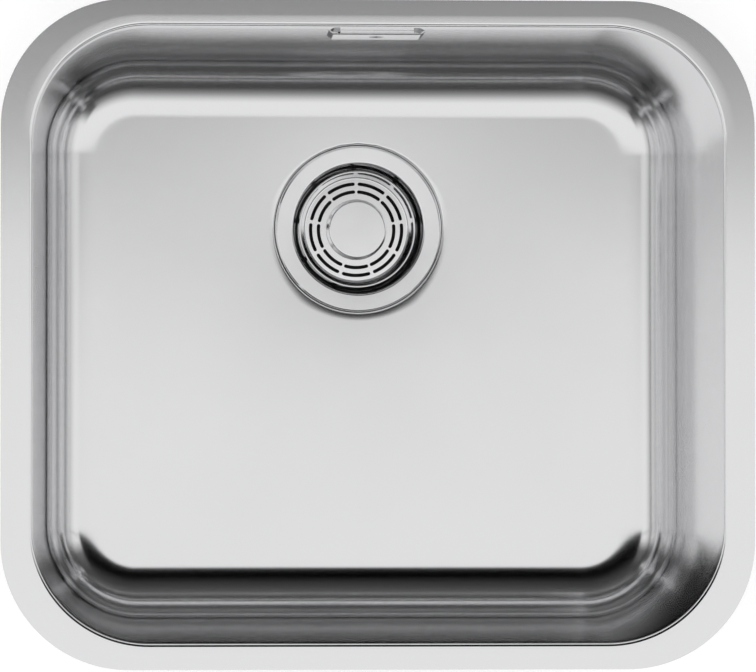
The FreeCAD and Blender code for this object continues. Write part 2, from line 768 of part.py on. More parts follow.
def make_waste_body():
    """Moulded lower half: a chamber round the cup, an inlet for the overflow and the outlet to the trap."""
    body = drain_body("waste_body")
    turned(body, [
        ("body_bore", "body_top"),
        ("flange_radius", "body_top"),
        ("flange_radius", "body_top - body_flange"),
        ("body_radius", "body_top - body_flange"),
        ("body_radius", "body_low - body_wall / 2"),
        ("collar_radius", "funnel_low - body_wall / 2"),
        ("collar_radius", "collar_low"),
        ("outlet_radius", "collar_low"),
        ("outlet_radius", "outlet_low"),
        ("outlet_bore", "outlet_low"),
        ("outlet_bore", "funnel_low"),
        ("body_bore", "body_low"),
    ])
    rib = sketch_on(body, "XZ_Plane", "Rib")
    inside = "body_radius - body_wall / 2"
    draw_polygon(rib, [(inside, "body_top - body_flange / 2"),
                       ("flange_radius - rib_inset", "body_top - body_flange / 2"),
                       ("flange_radius - rib_inset", "body_top - body_flange"),
                       ("body_radius", "body_top - body_flange - rib_drop"),
                       (inside, "body_top - body_flange - rib_drop")])
    # The ribs stand between the directions of the spider's arms, clear of the inlet
    rib.AttachmentOffset = Placement(Vector(), Rotation(Vector(0, 1, 0), 180 / SIZES["rib_count"]))
    repeat_round(body, pad(body, rib, "rib_width", both_ways=True), "rib_count")
    arm = sketch_on(body, "XZ_Plane", "Spider")
    # Each arm starts inside the hub's wall and ends a third into the funnel's
    hub_wall = "(hub_radius + insert_radius) / 2"
    sunk = "body_wall / 3"
    draw_polygon(arm, [(hub_wall, "body_low - spider_step"),
                       (f"body_bore - spider_step * (body_bore - outlet_bore) / body_funnel + {sunk}",
                        "body_low - spider_step"),
                       (f"outlet_bore + {sunk}", "funnel_low"),
                       (f"outlet_bore + {sunk}", "hub_low"),
                       (hub_wall, "hub_low")])
    repeat_round(body, pad(body, arm, "spider_width", both_ways=True), "spider_count")
    hub = sketch_on(body, "XY_Plane", "Hub", lift="hub_low")
    draw_circle(hub, "hub_radius")
    pad(body, hub, "hub_height")
    well = sketch_on(body, "XY_Plane", "Well", lift="hub_low + hub_height")
    draw_circle(well, "insert_radius + fit")
    pocket(body, well, "hub_height - body_wall")
    inlet = sketch_on(body, "XZ_Plane", "Inlet", lift="-inlet_end")
    draw_circle(inlet, "inlet_radius", y="inlet_at")
    pad(body, inlet, "inlet_length + body_wall / 2")
    socket = sketch_on(body, "XZ_Plane", "Socket", lift="-inlet_end")
    draw_circle(socket, "cuff_radius + fit", y="inlet_at")
    pocket(body, socket, "socket_depth", reverse=True)
    throat = sketch_on(body, "XZ_Plane", "Throat", lift="-inlet_end")
    draw_circle(throat, "hose_bore", y="inlet_at")
    pocket(body, throat, "inlet_length + 2 * body_wall", reverse=True)
    return body


def make_waste():
    seal = ring(drain_body("flange_seal"), "drain_hole + running", "(flange_radius + recess_radius) / 2",
                "-recess_drop", "-recess_drop + flange_seal_height")
    under = ring(drain_body("under_seal"), "drain_hole + running", "flange_radius", "body_top",
                 "body_top + under_seal_height")
    washer = ring(drain_body("screw_washer"), "screw_radius + running", "washer_radius", "boss_top", "head_low")
    insert = ring(drain_body("body_insert"), "screw_radius + fit", "insert_radius", "screw_low",
                  "screw_low + insert_height")
    return [make_flange(), seal, under, make_centre_screw(), washer, make_waste_body(), insert]


# ---------------------------------------------------------------- strainer basket

def make_basket():
    """Perforated stainless dish with a rolled rim and two rings of arc slots."""
    body = drain_body("strainer_basket")
    turned(body, [
        ("stem_radius + fit", "plate_top"),
        ("basket_floor", "plate_top"),
        ("basket_bead", "rim_top - bead_height / 2"),
        ("basket_bead", "rim_top"),
        ("basket_rim", "rim_top"),
        ("basket_rim", "rim_top - bead_height"),
        ("basket_bead + basket_sheet", "rim_top - bead_height"),
        ("basket_floor + basket_sheet", "plate_low"),
        ("stem_radius + fit", "plate_low"),
    ])
    round_off(body, "bead_round", circle_at(("basket_rim", "rim_top"), ("basket_rim", "rim_top - bead_height"),
                                            ("basket_bead", "rim_top")))
    round_off(body, "basket_sheet", circle_at(("basket_floor", "plate_top")))
    round_off(body, "2 * basket_sheet", circle_at(("basket_floor + basket_sheet", "plate_low")))
    for radius in ("slot_inner", "slot_outer"):
        slot = sketch_on(body, "XY_Plane", "Slot", lift="plate_top")
        # A bridge between slots points to the back of the bowl
        slot.AttachmentOffset = Placement(Vector(), Rotation(Vector(0, 0, 1), 90 + 180 / SIZES["slot_count"]))
        draw_arc_slot(slot, radius, "slot_width", "slot_span")
        repeat_round(body, pocket(body, slot, "3 * basket_sheet"), "slot_count")
    return body


def make_knob():
    """Waisted cap that the strainer is lifted and pressed by, hollow, with a post for the stem."""
    body = drain_body("basket_knob")
    inside = "knob_waist - knob_wall"
    turned(body, [
        ("0", "rim_top"),
        ("knob_radius", "rim_top"),
        ("knob_radius", "rim_top - knob_edge"),
        ("knob_waist", "rim_top - knob_edge - knob_neck"),
        ("knob_waist", "knob_low + knob_toe + knob_flare"),
        ("knob_foot", "knob_low + knob_toe"),
        ("knob_foot", "knob_low"),
        ("knob_foot - knob_wall", "knob_low"),
        (inside, "knob_low + knob_flare"),
        (inside, "rim_top - knob_wall - knob_toe"),
        (f"{inside} - knob_toe", "rim_top - knob_wall"),
        ("post_radius", "rim_top - knob_wall"),
        ("post_radius", "knob_low"),
        ("stem_radius + fit", "knob_low"),
        ("stem_radius + fit", "stem_top + fit"),
        ("0", "stem_top + fit"),
    ])
    round_off(body, "knob_round", circle_at(("knob_radius", "rim_top")))
    return body


def make_stem():
    """Pin from the knob down into the centre screw, with a groove for its grip ring."""
    body = drain_body("basket_stem")
    groove = "(stem_radius - 2 * ring_section)"
    return turned(body, [
        ("0", "stem_top"),
        ("stem_radius", "stem_top"),
        ("stem_radius", "ring_height + ring_section + fit"),
        (groove, "ring_height + ring_section + fit"),
        (groove, "ring_height - ring_section - fit"),
        ("stem_radius", "ring_height - ring_section - fit"),
        ("stem_radius", "stem_low + stem_tip"),
        ("stem_radius - stem_tip", "stem_low"),
        ("0", "stem_low"),
    ])


def make_basket_seal():
    """Rubber skirt under the dish; closed, its edge stands on the cup's conical seat."""
    body = drain_body("basket_seal")
    return turned(body, [
        ("stem_radius + fit", "plate_low - fit"),
        ("seal_hub", "plate_low - fit"),
        ("seal_hub", "seal_low + seal_root"),
        ("seal_radius", "seal_edge_low + seal_edge"),
        ("seal_radius", "seal_edge_low"),
        ("seal_plate_radius + fit", "seal_low"),
        ("stem_radius + fit", "seal_low"),
    ])


def make_stem_nut():
    """Hexagon nut that clamps seal and dish to the knob."""
    body = drain_body("stem_nut")
    outline = sketch_on(body, "XY_Plane", "Outline", lift="nut_top")
    across = "nut_flats / 2 / cos(30)"
    half = "nut_flats / 2"
    draw_polygon(outline, [(across, "0"), (f"{across} / 2", half), (f"-{across} / 2", half), (f"-{across}", "0"),
                           (f"-{across} / 2", f"-{half}"), (f"{across} / 2", f"-{half}")])
    draw_circle(outline, "stem_radius + fit")
    pad(body, outline, "nut_height", reverse=True)
    return body


def make_grip_ring():
    """Rubber ring in the stem's groove."""
    body = drain_body("stem_ring")
    profile = sketch_on(body, "XZ_Plane", "Profile")
    draw_circle(profile, "ring_section", x="stem_radius - ring_section + ring_proud", y="ring_height")
    turn(body, profile)
    return body


def make_strainer():
    plate = ring(drain_body("seal_plate"), "stem_radius + fit", "seal_plate_radius", "seal_plate_low",
                 "seal_low - fit")
    return [make_basket(), make_knob(), make_stem(), make_basket_seal(), plate, make_stem_nut(), make_grip_ring()]


# ---------------------------------------------------------------- overflow

def make_overflow_cover():
    """Stainless hood over the hole: a front plate, two slanting cheeks and a bridge along the top."""
    body = overflow_body("overflow_cover")
    plan = sketch_on(body, "XY_Plane", "Plan", lift="-cover_height / 2")
    draw_polygon(plan, [("cover_foot", "-fit"), ("cover_face", "-cover_proud"),
                        ("-cover_face", "-cover_proud"), ("-cover_foot", "-fit"),
                        ("-cover_foot + cover_sheet", "-fit"),
                        ("-cover_face + cover_sheet", "-cover_proud + cover_sheet"),
                        ("cover_face - cover_sheet", "-cover_proud + cover_sheet"),
                        ("cover_foot - cover_sheet", "-fit")])
    pad(body, plan, "cover_height")
    x = value("cover_face")
    round_off(body, "cover_bend", lambda edge: upright(edge) and abs(abs(edge.CenterOfMass.x) - x) < 1e-3)
    bridge = sketch_on(body, "XY_Plane", "Bridge", lift="cover_height / 2")
    half = "(cover_face - cover_gap)"
    draw_polygon(bridge, [(f"-{half}", "-cover_proud"), (half, "-cover_proud"), (half, "-fit"), (f"-{half}", "-fit")])
    pad(body, bridge, "cover_sheet", reverse=True)
    hole = sketch_on(body, "XZ_Plane", "Hole", lift="cover_proud")
    draw_circle(hole, "cover_screw_head + fit")
    pocket(body, hole, "2 * cover_sheet")
    dimple = sketch_on(body, "XY_Plane", "Dimple")
    draw_polygon(dimple, [("cover_screw_head + fit", "-cover_proud"),
                          ("cover_screw_head + 2 * cover_sheet", "-cover_proud"),
                          ("cover_screw_head + 2 * cover_sheet", "-cover_proud + cover_sheet"),
                          ("cover_screw + 1.5 * cover_sheet", "cover_screw_seat"),
                          ("cover_screw + fit", "cover_screw_seat")])
    turn(body, dimple)
    return body


def make_overflow_screw():
    """Countersunk screw through the cover into the head's insert; it clamps head and gasket to the wall."""
    body = overflow_body("overflow_screw")
    profile = sketch_on(body, "XY_Plane", "Profile")
    draw_polygon(profile, [("0", "-cover_proud"),
                           ("cover_screw_head", "-cover_proud"),
                           ("cover_screw", "cover_screw_seat"),
                           ("cover_screw", "pillar_back - cover_screw_spare"),
                           ("0", "pillar_back - cover_screw_spare")])
    turn(body, profile)
    for name, width, height in (("Across", "cross_length", "cross_width"), ("Upright", "cross_width", "cross_length")):
        recess = sketch_on(body, "XZ_Plane", name, lift="cover_proud")
        draw_polygon(recess, [(f"-{width} / 2", f"-{height} / 2"), (f"{width} / 2", f"-{height} / 2"),
                              (f"{width} / 2", f"{height} / 2"), (f"-{width} / 2", f"{height} / 2")])
        pocket(body, recess, "cross_depth")
    return body


def make_overflow_gasket():
    body = overflow_body("overflow_gasket")
    outline = sketch_on(body, "XZ_Plane", "Outline", lift="-gasket_front")
    draw_rounded_rectangle(outline, "head_width", "head_height", "head_corner")
    draw_rounded_rectangle(outline, "(head_width - 2 * gasket_land)", "(head_height - 2 * gasket_land)",
                           "(head_corner - head_wall)")
    pad(body, outline, "gasket_height", reverse=True)
    return body


def make_overflow_head():
    """Moulded box on the outside of the wall, with a pillar for the screw and a spigot for the hose."""
    body = overflow_body("overflow_head")
    outline = sketch_on(body, "XZ_Plane", "Outline", lift="-head_front")
    draw_rounded_rectangle(outline, "head_width", "head_height", "head_corner")
    pad(body, outline, "head_thickness", reverse=True)
    back = value("head_back")
    round_off(body, "head_wall", lambda edge: abs(edge.BoundBox.YMin - back) + abs(edge.BoundBox.YMax - back) < 1e-2)
    spigot = sketch_on(body, "XY_Plane", "Spigot", lift="-head_height / 2 + head_wall")
    draw_circle(spigot, "spigot_radius", y="hose_out")
    pad(body, spigot, "spigot_length + head_wall", reverse=True)
    room = sketch_on(body, "XZ_Plane", "Room", lift="-head_front")
    draw_rounded_rectangle(room, "(head_width - 2 * head_wall)", "(head_height - 2 * head_wall)",
                           "(head_corner - head_wall)")
    pocket(body, room, "head_thickness - head_wall")
    bore = sketch_on(body, "XY_Plane", "Bore", lift="spigot_low")
    draw_circle(bore, "spigot_radius - spigot_wall", y="hose_out")
    pocket(body, bore, "spigot_length + 2 * head_wall", reverse=True)
    pillar = sketch_on(body, "XZ_Plane", "Pillar", lift="-head_back + head_wall / 2")
    draw_circle(pillar, "pillar_radius")
    pad(body, pillar, "overflow_insert_length + head_wall")
    well = sketch_on(body, "XZ_Plane", "Well", lift="-pillar_back + overflow_insert_length")
    draw_circle(well, "overflow_insert_radius + fit")
    pocket(body, well, "overflow_insert_length")
    return body


def make_overflow_insert():
    """Threaded brass sleeve moulded into the pillar."""
    body = overflow_body("overflow_insert")
    outline = sketch_on(body, "XZ_Plane", "Outline", lift="-pillar_back + fit")
    draw_circle(outline, "overflow_insert_radius")
    draw_circle(outline, "cover_screw + fit")
    pad(body, outline, "overflow_insert_length - fit")
    return body


def make_hose_clip():
    """Spring band round the hose's upper cuff."""
    body = overflow_body("hose_clip")
    outline = sketch_on(body, "XY_Plane", "Outline", lift="spigot_low + clip_width / 2")
    draw_circle(outline, "clip_radius", y="hose_out")
    draw_circle(outline, "cuff_radius + fit", y="hose_out")
    pad(body, outline, "clip_width")
    return body


def hose_line():
    """The hose's way: down along the back wall, round one bend and level into the waste body.

    Returns its length and a function that gives the point and the direction at a distance along it.
    """
    lean = math.radians(value("wall_draft"))
    down = Vector(0, -math.sin(lean), -math.cos(lean))
    out = Vector(0, math.cos(lean), -math.sin(lean))
    level = Vector(0, -1, 0)
    wall = Vector(0, value("opening_length / 2"), 0)
    start = wall + down * value("overflow_drop + head_height / 2 + hose_end_gap") + out * value("hose_out")
    end = Vector(0, value("drain_back + inlet_end - socket_depth + socket_spare"), value("-bowl_height + inlet_at"))
    corner = start + down * ((start.z - end.z) / -down.z)
    # The bend takes all that the lower cuff leaves of the level run
    angle = math.pi / 2 - lean
    trim = corner.y - end.y - value("cuff_length + cuff_spare / 2")
    radius = trim / math.tan(angle / 2)
    centre = corner - down * trim + Vector(0, down.z, -down.y) * radius
    first = (corner - start).Length - trim
    bend = radius * angle

    def station(distance):
        if distance <= first:
            return start + down * distance, down
        if distance >= first + bend:
            return corner + level * (trim + distance - first - bend), level
        way = Rotation(Vector(1, 0, 0), -math.degrees((distance - first) / radius)).multVec(down)
        return centre - Vector(0, way.z, -way.y) * radius, way

    return first + bend + corner.y - end.y - trim, station


def hose_skin(radii, station):
    """A ruled loft through circles of these radii at these distances along the route."""
    circles = []
    for distance, radius in radii:
        point, way = station(distance)
        axes = Rotation(Vector(1, 0, 0), way.cross(Vector(1, 0, 0)), way, "ZXY")
        circle = Part.Circle(Vector(), Vector(0, 0, 1), radius).toShape()
        circle.Placement = Placement(point, axes)
        circles.append(Part.Wire([circle]))
    return Part.makeLoft(circles, True, True)


def make_hose():
    """Corrugated hose: a plain cuff at each end, and a rib every pitch between them."""
    length, station = hose_line()
    cuff, valley, crest, bore = (value(name) for name in ("cuff_radius", "hose_valley", "hose_crest", "hose_bore"))
    taper = value("cuff_taper")
    first_rib = value("cuff_length")
    count = int((length - 2 * first_rib) / value("hose_pitch"))
    quarter = (length - 2 * first_rib) / count / 4
    outside = [(0, cuff), (first_rib - taper, cuff)]
    for rib in range(count):
        base = first_rib + 4 * rib * quarter
        outside += [(base, valley), (base + quarter, valley), (base + 2 * quarter, crest), (base + 3 * quarter, crest)]
    outside += [(length - first_rib, valley), (length - first_rib + taper, cuff), (length, cuff)]
    over_spigot, spigot_end = value("cuff_bore"), value("spigot_length")
    inside = [(0, over_spigot), (spigot_end, over_spigot)]
    inside += [(spigot_end + taper + (length - spigot_end - taper) * step / count, bore)
               for step in range(count + 1)]
    hose = doc.addObject("Part::Feature", "overflow_hose")
    hose.Shape = hose_skin(outside, station).cut(hose_skin(inside, station))
    print(f"hose: {length:.1f} mm long, {count} ribs")
    return hose


def make_union_nut():
    """Ribbed nut that holds the hose's lower cuff in the waste body's inlet."""
    body = body_at("union_nut", y="drain_back + inlet_end - union_length + cone_seal_height + body_wall + running",
                   z="-bowl_height + inlet_at")
    outline = sketch_on(body, "XZ_Plane", "Outline")
    draw_circle(outline, "union_radius")
    pad(body, outline, "union_length", reverse=True)
    notch = sketch_on(body, "XZ_Plane", "Notch")
    draw_circle(notch, "union_notch", x="union_radius + union_notch / 2")
    repeat_round(body, pocket(body, notch, "union_length - union_collar"), "grip_count", axis="Y_Axis")
    thread = sketch_on(body, "XZ_Plane", "Thread")
    draw_circle(thread, "inlet_radius + fit")
    pocket(body, thread, "union_length - body_wall")
    hole = sketch_on(body, "XZ_Plane", "Hole")
    draw_circle(hole, "cuff_radius + running")
    pocket(body, hole, "2 * union_length")
    return body


def make_cone_seal():
    """Rubber ring between the inlet's end and the nut, squeezed round the hose's cuff."""
    body = body_at("cone_seal", y="drain_back + inlet_end + fit", z="-bowl_height + inlet_at")
    outline = sketch_on(body, "XZ_Plane", "Outline")
    draw_circle(outline, "inlet_radius - fit")
    draw_circle(outline, "cuff_radius + fit")
    pad(body, outline, "cone_seal_height", reverse=True)
    return body


def make_overflow():
    return [make_overflow_cover(), make_overflow_screw(), make_overflow_gasket(), make_overflow_head(),
            make_overflow_insert(), make_hose_clip(), make_hose(), make_union_nut(), make_cone_seal()]


# ---------------------------------------------------------------- build and export

def check_and_export(parts):
    doc.recompute()
    bad = [item.Label for item in doc.Objects if {"Invalid", "Error"} & set(item.State)]
    if bad:
        raise RuntimeError(f"these objects failed: {bad}")
    os.makedirs("parts", exist_ok=True)
    for part in parts:
        shape = part.Shape
        if shape.isNull() or not shape.isValid() or shape.Volume <= 0:
            raise RuntimeError(f"{part.Label} has no good shape")
    for part in parts:
        part.Shape.exportStep(os.path.join("parts", f"{part.Label}.step"))
        print(f"{part.Label}: {len(part.Shape.Solids)} solid, {part.Shape.Volume:.0f} mm3")


check_and_export([make_bowl()] + make_pads() + make_waste() + make_strainer() + make_overflow())
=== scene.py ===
import math

import bmesh
import bpy
from mathutils import Matrix, Vector


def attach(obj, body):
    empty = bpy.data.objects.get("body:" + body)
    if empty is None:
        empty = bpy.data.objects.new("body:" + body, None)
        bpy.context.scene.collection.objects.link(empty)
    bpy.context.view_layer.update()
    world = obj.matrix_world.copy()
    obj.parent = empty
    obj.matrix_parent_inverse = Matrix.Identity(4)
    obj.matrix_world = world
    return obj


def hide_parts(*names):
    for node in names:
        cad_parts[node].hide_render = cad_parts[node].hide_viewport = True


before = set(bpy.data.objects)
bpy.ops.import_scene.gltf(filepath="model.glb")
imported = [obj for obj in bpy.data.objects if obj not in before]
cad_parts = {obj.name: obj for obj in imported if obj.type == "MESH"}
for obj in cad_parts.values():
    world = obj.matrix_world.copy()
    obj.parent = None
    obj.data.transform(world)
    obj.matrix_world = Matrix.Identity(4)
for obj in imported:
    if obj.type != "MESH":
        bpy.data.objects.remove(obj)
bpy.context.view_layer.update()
scene = bpy.context.scene


# ---------------------------------------------------------------------------------------------- bowl
# The bowl is one pressing of 1 mm stainless sheet: a flat rim that is glued under the worktop, a rolled lip,
# walls that lean in towards the floor, a wide bend, a floor that falls to the drain, and a recess for the
# drain's flange. The overflow's hole is punched through the back wall. The inside is polished to a fine satin.

MATH, VECTOR, MAP = "ShaderNodeMath", "ShaderNodeVectorMath", "ShaderNodeMapRange"
# Where most values of a noise texture lie, and of two noises added
NOISE, TWO_NOISES = (0.3, 0.7), (0.6, 1.4)
# How high polishing marks stand at full strength, in metres
MARK_HEIGHT = 0.00002

bowl_sizes = {
    "Half width": 0.225,
    "Half length": 0.200,
    "Corner radius": 0.076,
    "Rim at the sides": 0.020,
    "Rim at the ends": 0.017,
    "Rim corner radius": 0.083,
    "Depth": 0.180,
    "Wall lean": math.radians(5.7),
    "Lip bend": 0.0025,
    "Floor bend": 0.036,
    "Floor fall": math.radians(1.2),
    "Drain set back": 0.075,
    "Recess radius": 0.057,
    "Recess depth": 0.003,
    "Recess bend": 0.001,
    "Drain hole": 0.0455,
}
sheet_thickness = 0.001
drain = Vector((0, bowl_sizes["Drain set back"], -bowl_sizes["Depth"]))


def colour(code):
    """An sRGB hex value as the linear colour that shaders take."""
    channels = [int(code[i:i + 2], 16) / 255 for i in (1, 3, 5)]
    return [c / 12.92 if c <= 0.04045 else ((c + 0.055) / 1.055) ** 2.4 for c in channels] + [1.0]


def put(tree, kind, *given, **settings):
    """Adds a node. Its properties are the settings, and its inputs are given in order, or as one dictionary
    by name or number. A node or a socket that is given is linked."""
    node = tree.nodes.new(kind)
    for name, setting in settings.items():
        setattr(node, name, setting)
    wanted = given[0].items() if given and isinstance(given[0], dict) else enumerate(given)
    for where, what in wanted:
        if isinstance(what, bpy.types.Node):
            what = next(output for output in what.outputs if output.enabled)
        if isinstance(what, bpy.types.NodeSocket):
            tree.links.new(what, node.inputs[where])
        elif what is not None:
            node.inputs[where].default_value = what
    return node


def add(name, data):
    """A new object in the scene, at the origin."""
    thing = bpy.data.objects.new(name, data)
    scene.collection.objects.link(thing)
    return thing


def new_material(name):
    """A material and its empty node tree."""
    material = bpy.data.materials.new(name)
    material.use_nodes = True
    material.node_tree.nodes.clear()
    return material, material.node_tree


def new_tree(name, sizes):
    """A Geometry Nodes tree with these named sizes as its inputs, and the outputs of its input node."""
    tree = bpy.data.node_groups.new(name, "GeometryNodeTree")
    tree.interface.new_socket("Geometry", in_out="INPUT", socket_type="NodeSocketGeometry")
    tree.interface.new_socket("Geometry", in_out="OUTPUT", socket_type="NodeSocketGeometry")
    for label in sizes:
        tree.interface.new_socket(label, in_out="INPUT", socket_type="NodeSocketFloat")
    return tree, put(tree, "NodeGroupInput").outputs


def end_tree(tree, geometry, material):
    """Makes what a tree has built real, gives it this material, and sends it out."""
    real = put(tree, "GeometryNodeRealizeInstances", geometry)
    put(tree, "NodeGroupOutput", put(tree, "GeometryNodeSetMaterial", {"Geometry": real, "Material": material}))


def grow(name, tree, sizes, seed=None, modifiers=()):
    """The plain object that a tree makes of these sizes and a seed mesh, with more modifiers after it."""
    holder = add(name + "_holder", seed or bpy.data.meshes.new(name + "_seed"))
    grower = holder.modifiers.new("Tree", "NODES")
    grower.node_group = tree
    for item in tree.interface.items_tree:
        if item.in_out == "INPUT" and item.name in sizes:
            grower[item.identifier] = float(sizes[item.name])
    for kind, settings in modifiers:
        extra = holder.modifiers.new(kind.title(), kind)
        for setting, value in settings.items():
            setattr(extra, setting, value)
    mesh = bpy.data.meshes.new_from_object(holder.evaluated_get(bpy.context.evaluated_depsgraph_get()))
    bpy.data.objects.remove(holder)
    mesh.name = name
    return add(name, mesh)


def smooth(piece, sharp=30):
    """Shades a piece smooth, but for edges that turn more than this many degrees."""
    piece.data.polygons.foreach_set("use_smooth", [True] * len(piece.data.polygons))
    piece.data.set_sharp_from_angle(angle=math.radians(sharp))
    piece.data.update()


def satin_steel(name, tint, roughness, line, stretch, depth):
    """Stainless steel with a satin polish: hair lines this wide, in mm, and long along one axis.

    They change the sheen a little and catch the light, as the marks of an abrasive belt do. The relief is this
    share of its full height.
    """
    material, tree = new_material(name)
    place = put(tree, "ShaderNodeTexCoord").outputs["Object"]
    scale = [1000 / (line * along) for along in stretch]
    drawn_out = put(tree, "ShaderNodeMapping", {"Vector": place, "Scale": scale})
    hair = put(tree, "ShaderNodeTexNoise", {"Vector": drawn_out, "Scale": 1.0, "Detail": 2.0, "Roughness": 0.6})
    cloud = put(tree, "ShaderNodeTexNoise", {"Vector": place, "Scale": 11.0, "Detail": 2.0})
    both = put(tree, MATH, hair, cloud, operation="ADD")
    sheen = put(tree, MAP, both, *TWO_NOISES, roughness * 0.9, roughness * 1.1)
    relief = put(tree, "ShaderNodeBump", {"Height": hair, "Strength": depth, "Distance": MARK_HEIGHT})
    shader = put(tree, "ShaderNodeBsdfPrincipled", {"Base Color": colour(tint), "Metallic": 1.0,
                                                    "Roughness": sheen, "Normal": relief})
    put(tree, "ShaderNodeOutputMaterial", shader)
    return material


# 18/10 stainless sheet, pressed, then belt polished from side to side: a soft mirror with faint long lines
pressed_steel = satin_steel("pressed_satin_stainless", "#ECECED", 0.14, 0.3, (80, 1, 1), 0.008)

tree, size = new_tree("pressed_bowl", bowl_sizes)
# The grid has a column for each place round the outline and a row for each step from the rim to the drain
arc_steps, side_steps = 30, 18
quarter_steps = arc_steps + side_steps
spans = {"rim": 3, "lip": 9, "wall": 12, "bend": 34, "floor": 40, "edge": 6, "drop": 2, "seat": 4}
rows = sum(spans.values()) + 1
index = put(tree, "GeometryNodeInputIndex")
column = put(tree, MATH, put(tree, MATH, index, rows, operation="DIVIDE"), operation="FLOOR")
row = put(tree, MATH, index, rows, operation="FLOORED_MODULO")
on = {}
first = 0
for span, steps in spans.items():
    on[span] = put(tree, MAP, row, first, first + steps, 0.0, 1.0)
    first += steps
# A quarter of the outline is a corner's arc and the straight side that follows it
quarter = put(tree, MATH, put(tree, MATH, column, quarter_steps, operation="DIVIDE"), operation="FLOOR")
step = put(tree, MATH, column, quarter_steps, operation="FLOORED_MODULO")
on_arc = put(tree, MAP, step, 0.0, arc_steps, 0.0, 1.0)
on_side = put(tree, MAP, step, arc_steps, quarter_steps, 0.0, 1.0)
quarter_turn = put(tree, MATH, quarter, math.pi / 2, operation="MULTIPLY")
outward_turn = put(tree, MATH, on_arc, math.pi / 2, quarter_turn, operation="MULTIPLY_ADD")
outward = put(tree, "ShaderNodeVectorRotate", {"Vector": (1, 0, 0), "Angle": outward_turn}, rotation_type="Z_AXIS")
this_corner = put(tree, "ShaderNodeVectorRotate", {"Vector": (1, 1, 0), "Angle": quarter_turn},
                  rotation_type="Z_AXIS")
next_corner = put(tree, "ShaderNodeVectorRotate", {"Vector": this_corner, "Angle": math.pi / 2},
                  rotation_type="Z_AXIS")
corner = put(tree, "ShaderNodeMix", {0: on_side, 4: this_corner, 5: next_corner}, data_type="VECTOR")
# The corners' centres, for the opening and for the rim's outer edge
centre_x = put(tree, MATH, size["Half width"], size["Corner radius"], operation="SUBTRACT")
centre_y = put(tree, MATH, size["Half length"], size["Corner radius"], operation="SUBTRACT")
core = put(tree, VECTOR, corner, put(tree, "ShaderNodeCombineXYZ", centre_x, centre_y), operation="MULTIPLY")
rim_x = put(tree, MATH, put(tree, MATH, size["Half width"], size["Rim at the sides"], operation="ADD"),
            size["Rim corner radius"], operation="SUBTRACT")
rim_y = put(tree, MATH, put(tree, MATH, size["Half length"], size["Rim at the ends"], operation="ADD"),
            size["Rim corner radius"], operation="SUBTRACT")
rim_core = put(tree, VECTOR, corner, put(tree, "ShaderNodeCombineXYZ", rim_x, rim_y), operation="MULTIPLY")
rim_reach = put(tree, VECTOR, {0: outward, "Scale": size["Rim corner radius"]}, operation="SCALE")
rim_edge = put(tree, VECTOR, rim_core, rim_reach, operation="ADD")
# The lip: how far in from the opening's edge, and how high
lean_tan = put(tree, MATH, size["Wall lean"], operation="TANGENT")
lean_cos = put(tree, MATH, size["Wall lean"], operation="COSINE")
steep = put(tree, MATH, math.pi / 2, size["Wall lean"], operation="SUBTRACT")
lip_turn = put(tree, MATH, on["lip"], steep, operation="MULTIPLY")
lip_tan = put(tree, MATH, put(tree, MATH, steep, 0.5, operation="MULTIPLY"), operation="TANGENT")
lip_start = put(tree, MATH, lip_tan, size["Lip bend"], operation="MULTIPLY")
lip_in = put(tree, MATH, put(tree, MATH, put(tree, MATH, lip_turn, operation="SINE"), size["Lip bend"],
                             operation="MULTIPLY"), lip_start, operation="SUBTRACT")
lip_high = put(tree, MATH, put(tree, MATH, put(tree, MATH, lip_turn, operation="COSINE"), 1.0, operation="SUBTRACT"),
               size["Lip bend"], operation="MULTIPLY")
# The bend between wall and floor: its centre keeps the bend's radius from the wall and from the sloping floor
middle = put(tree, "ShaderNodeCombineXYZ", 0.0, size["Drain set back"], 0.0)
bend_wall = put(tree, MATH, size["Floor bend"], lean_cos, operation="DIVIDE")
bend_top = put(tree, MATH, size["Depth"], size["Floor bend"], operation="SUBTRACT")
bend_in = put(tree, MATH, bend_top, lean_tan, bend_wall, operation="MULTIPLY_ADD")
bend_reach = put(tree, MATH, size["Corner radius"], bend_in, operation="SUBTRACT")
bend_place = put(tree, VECTOR, core, put(tree, VECTOR, {0: outward, "Scale": bend_reach}, operation="SCALE"),
                 operation="ADD")
from_drain = put(tree, VECTOR, bend_place, middle, operation="SUBTRACT")
facing = put(tree, VECTOR, outward, put(tree, VECTOR, from_drain, operation="NORMALIZE"), operation="DOT_PRODUCT")
fall_tan = put(tree, MATH, size["Floor fall"], operation="TANGENT")
slope = put(tree, MATH, size["Floor fall"], facing.outputs["Value"], operation="MULTIPLY")
past_recess = put(tree, MATH, put(tree, VECTOR, from_drain, operation="LENGTH").outputs["Value"],
                  size["Recess radius"], operation="SUBTRACT")
over_floor = put(tree, MATH, size["Floor bend"], put(tree, MATH, slope, operation="COSINE"), operation="DIVIDE")
bend_high = put(tree, MATH, put(tree, MATH, past_recess, fall_tan, over_floor, operation="MULTIPLY_ADD"),
                size["Depth"], operation="SUBTRACT")
bend_from = put(tree, MATH, bend_wall, put(tree, MATH, bend_high, lean_tan, operation="MULTIPLY"),
                operation="SUBTRACT")
bend_sweep = put(tree, MATH, steep, slope, operation="SUBTRACT")
travel = put(tree, MATH, put(tree, MATH, on["bend"], bend_sweep, operation="MULTIPLY"), steep, operation="SUBTRACT")
low_in = put(tree, MATH, put(tree, MATH, travel, operation="SINE"), size["Floor bend"], bend_from,
             operation="MULTIPLY_ADD")
low_high = put(tree, MATH, bend_high, put(tree, MATH, put(tree, MATH, travel, operation="COSINE"),
                                          size["Floor bend"], operation="MULTIPLY"), operation="SUBTRACT")
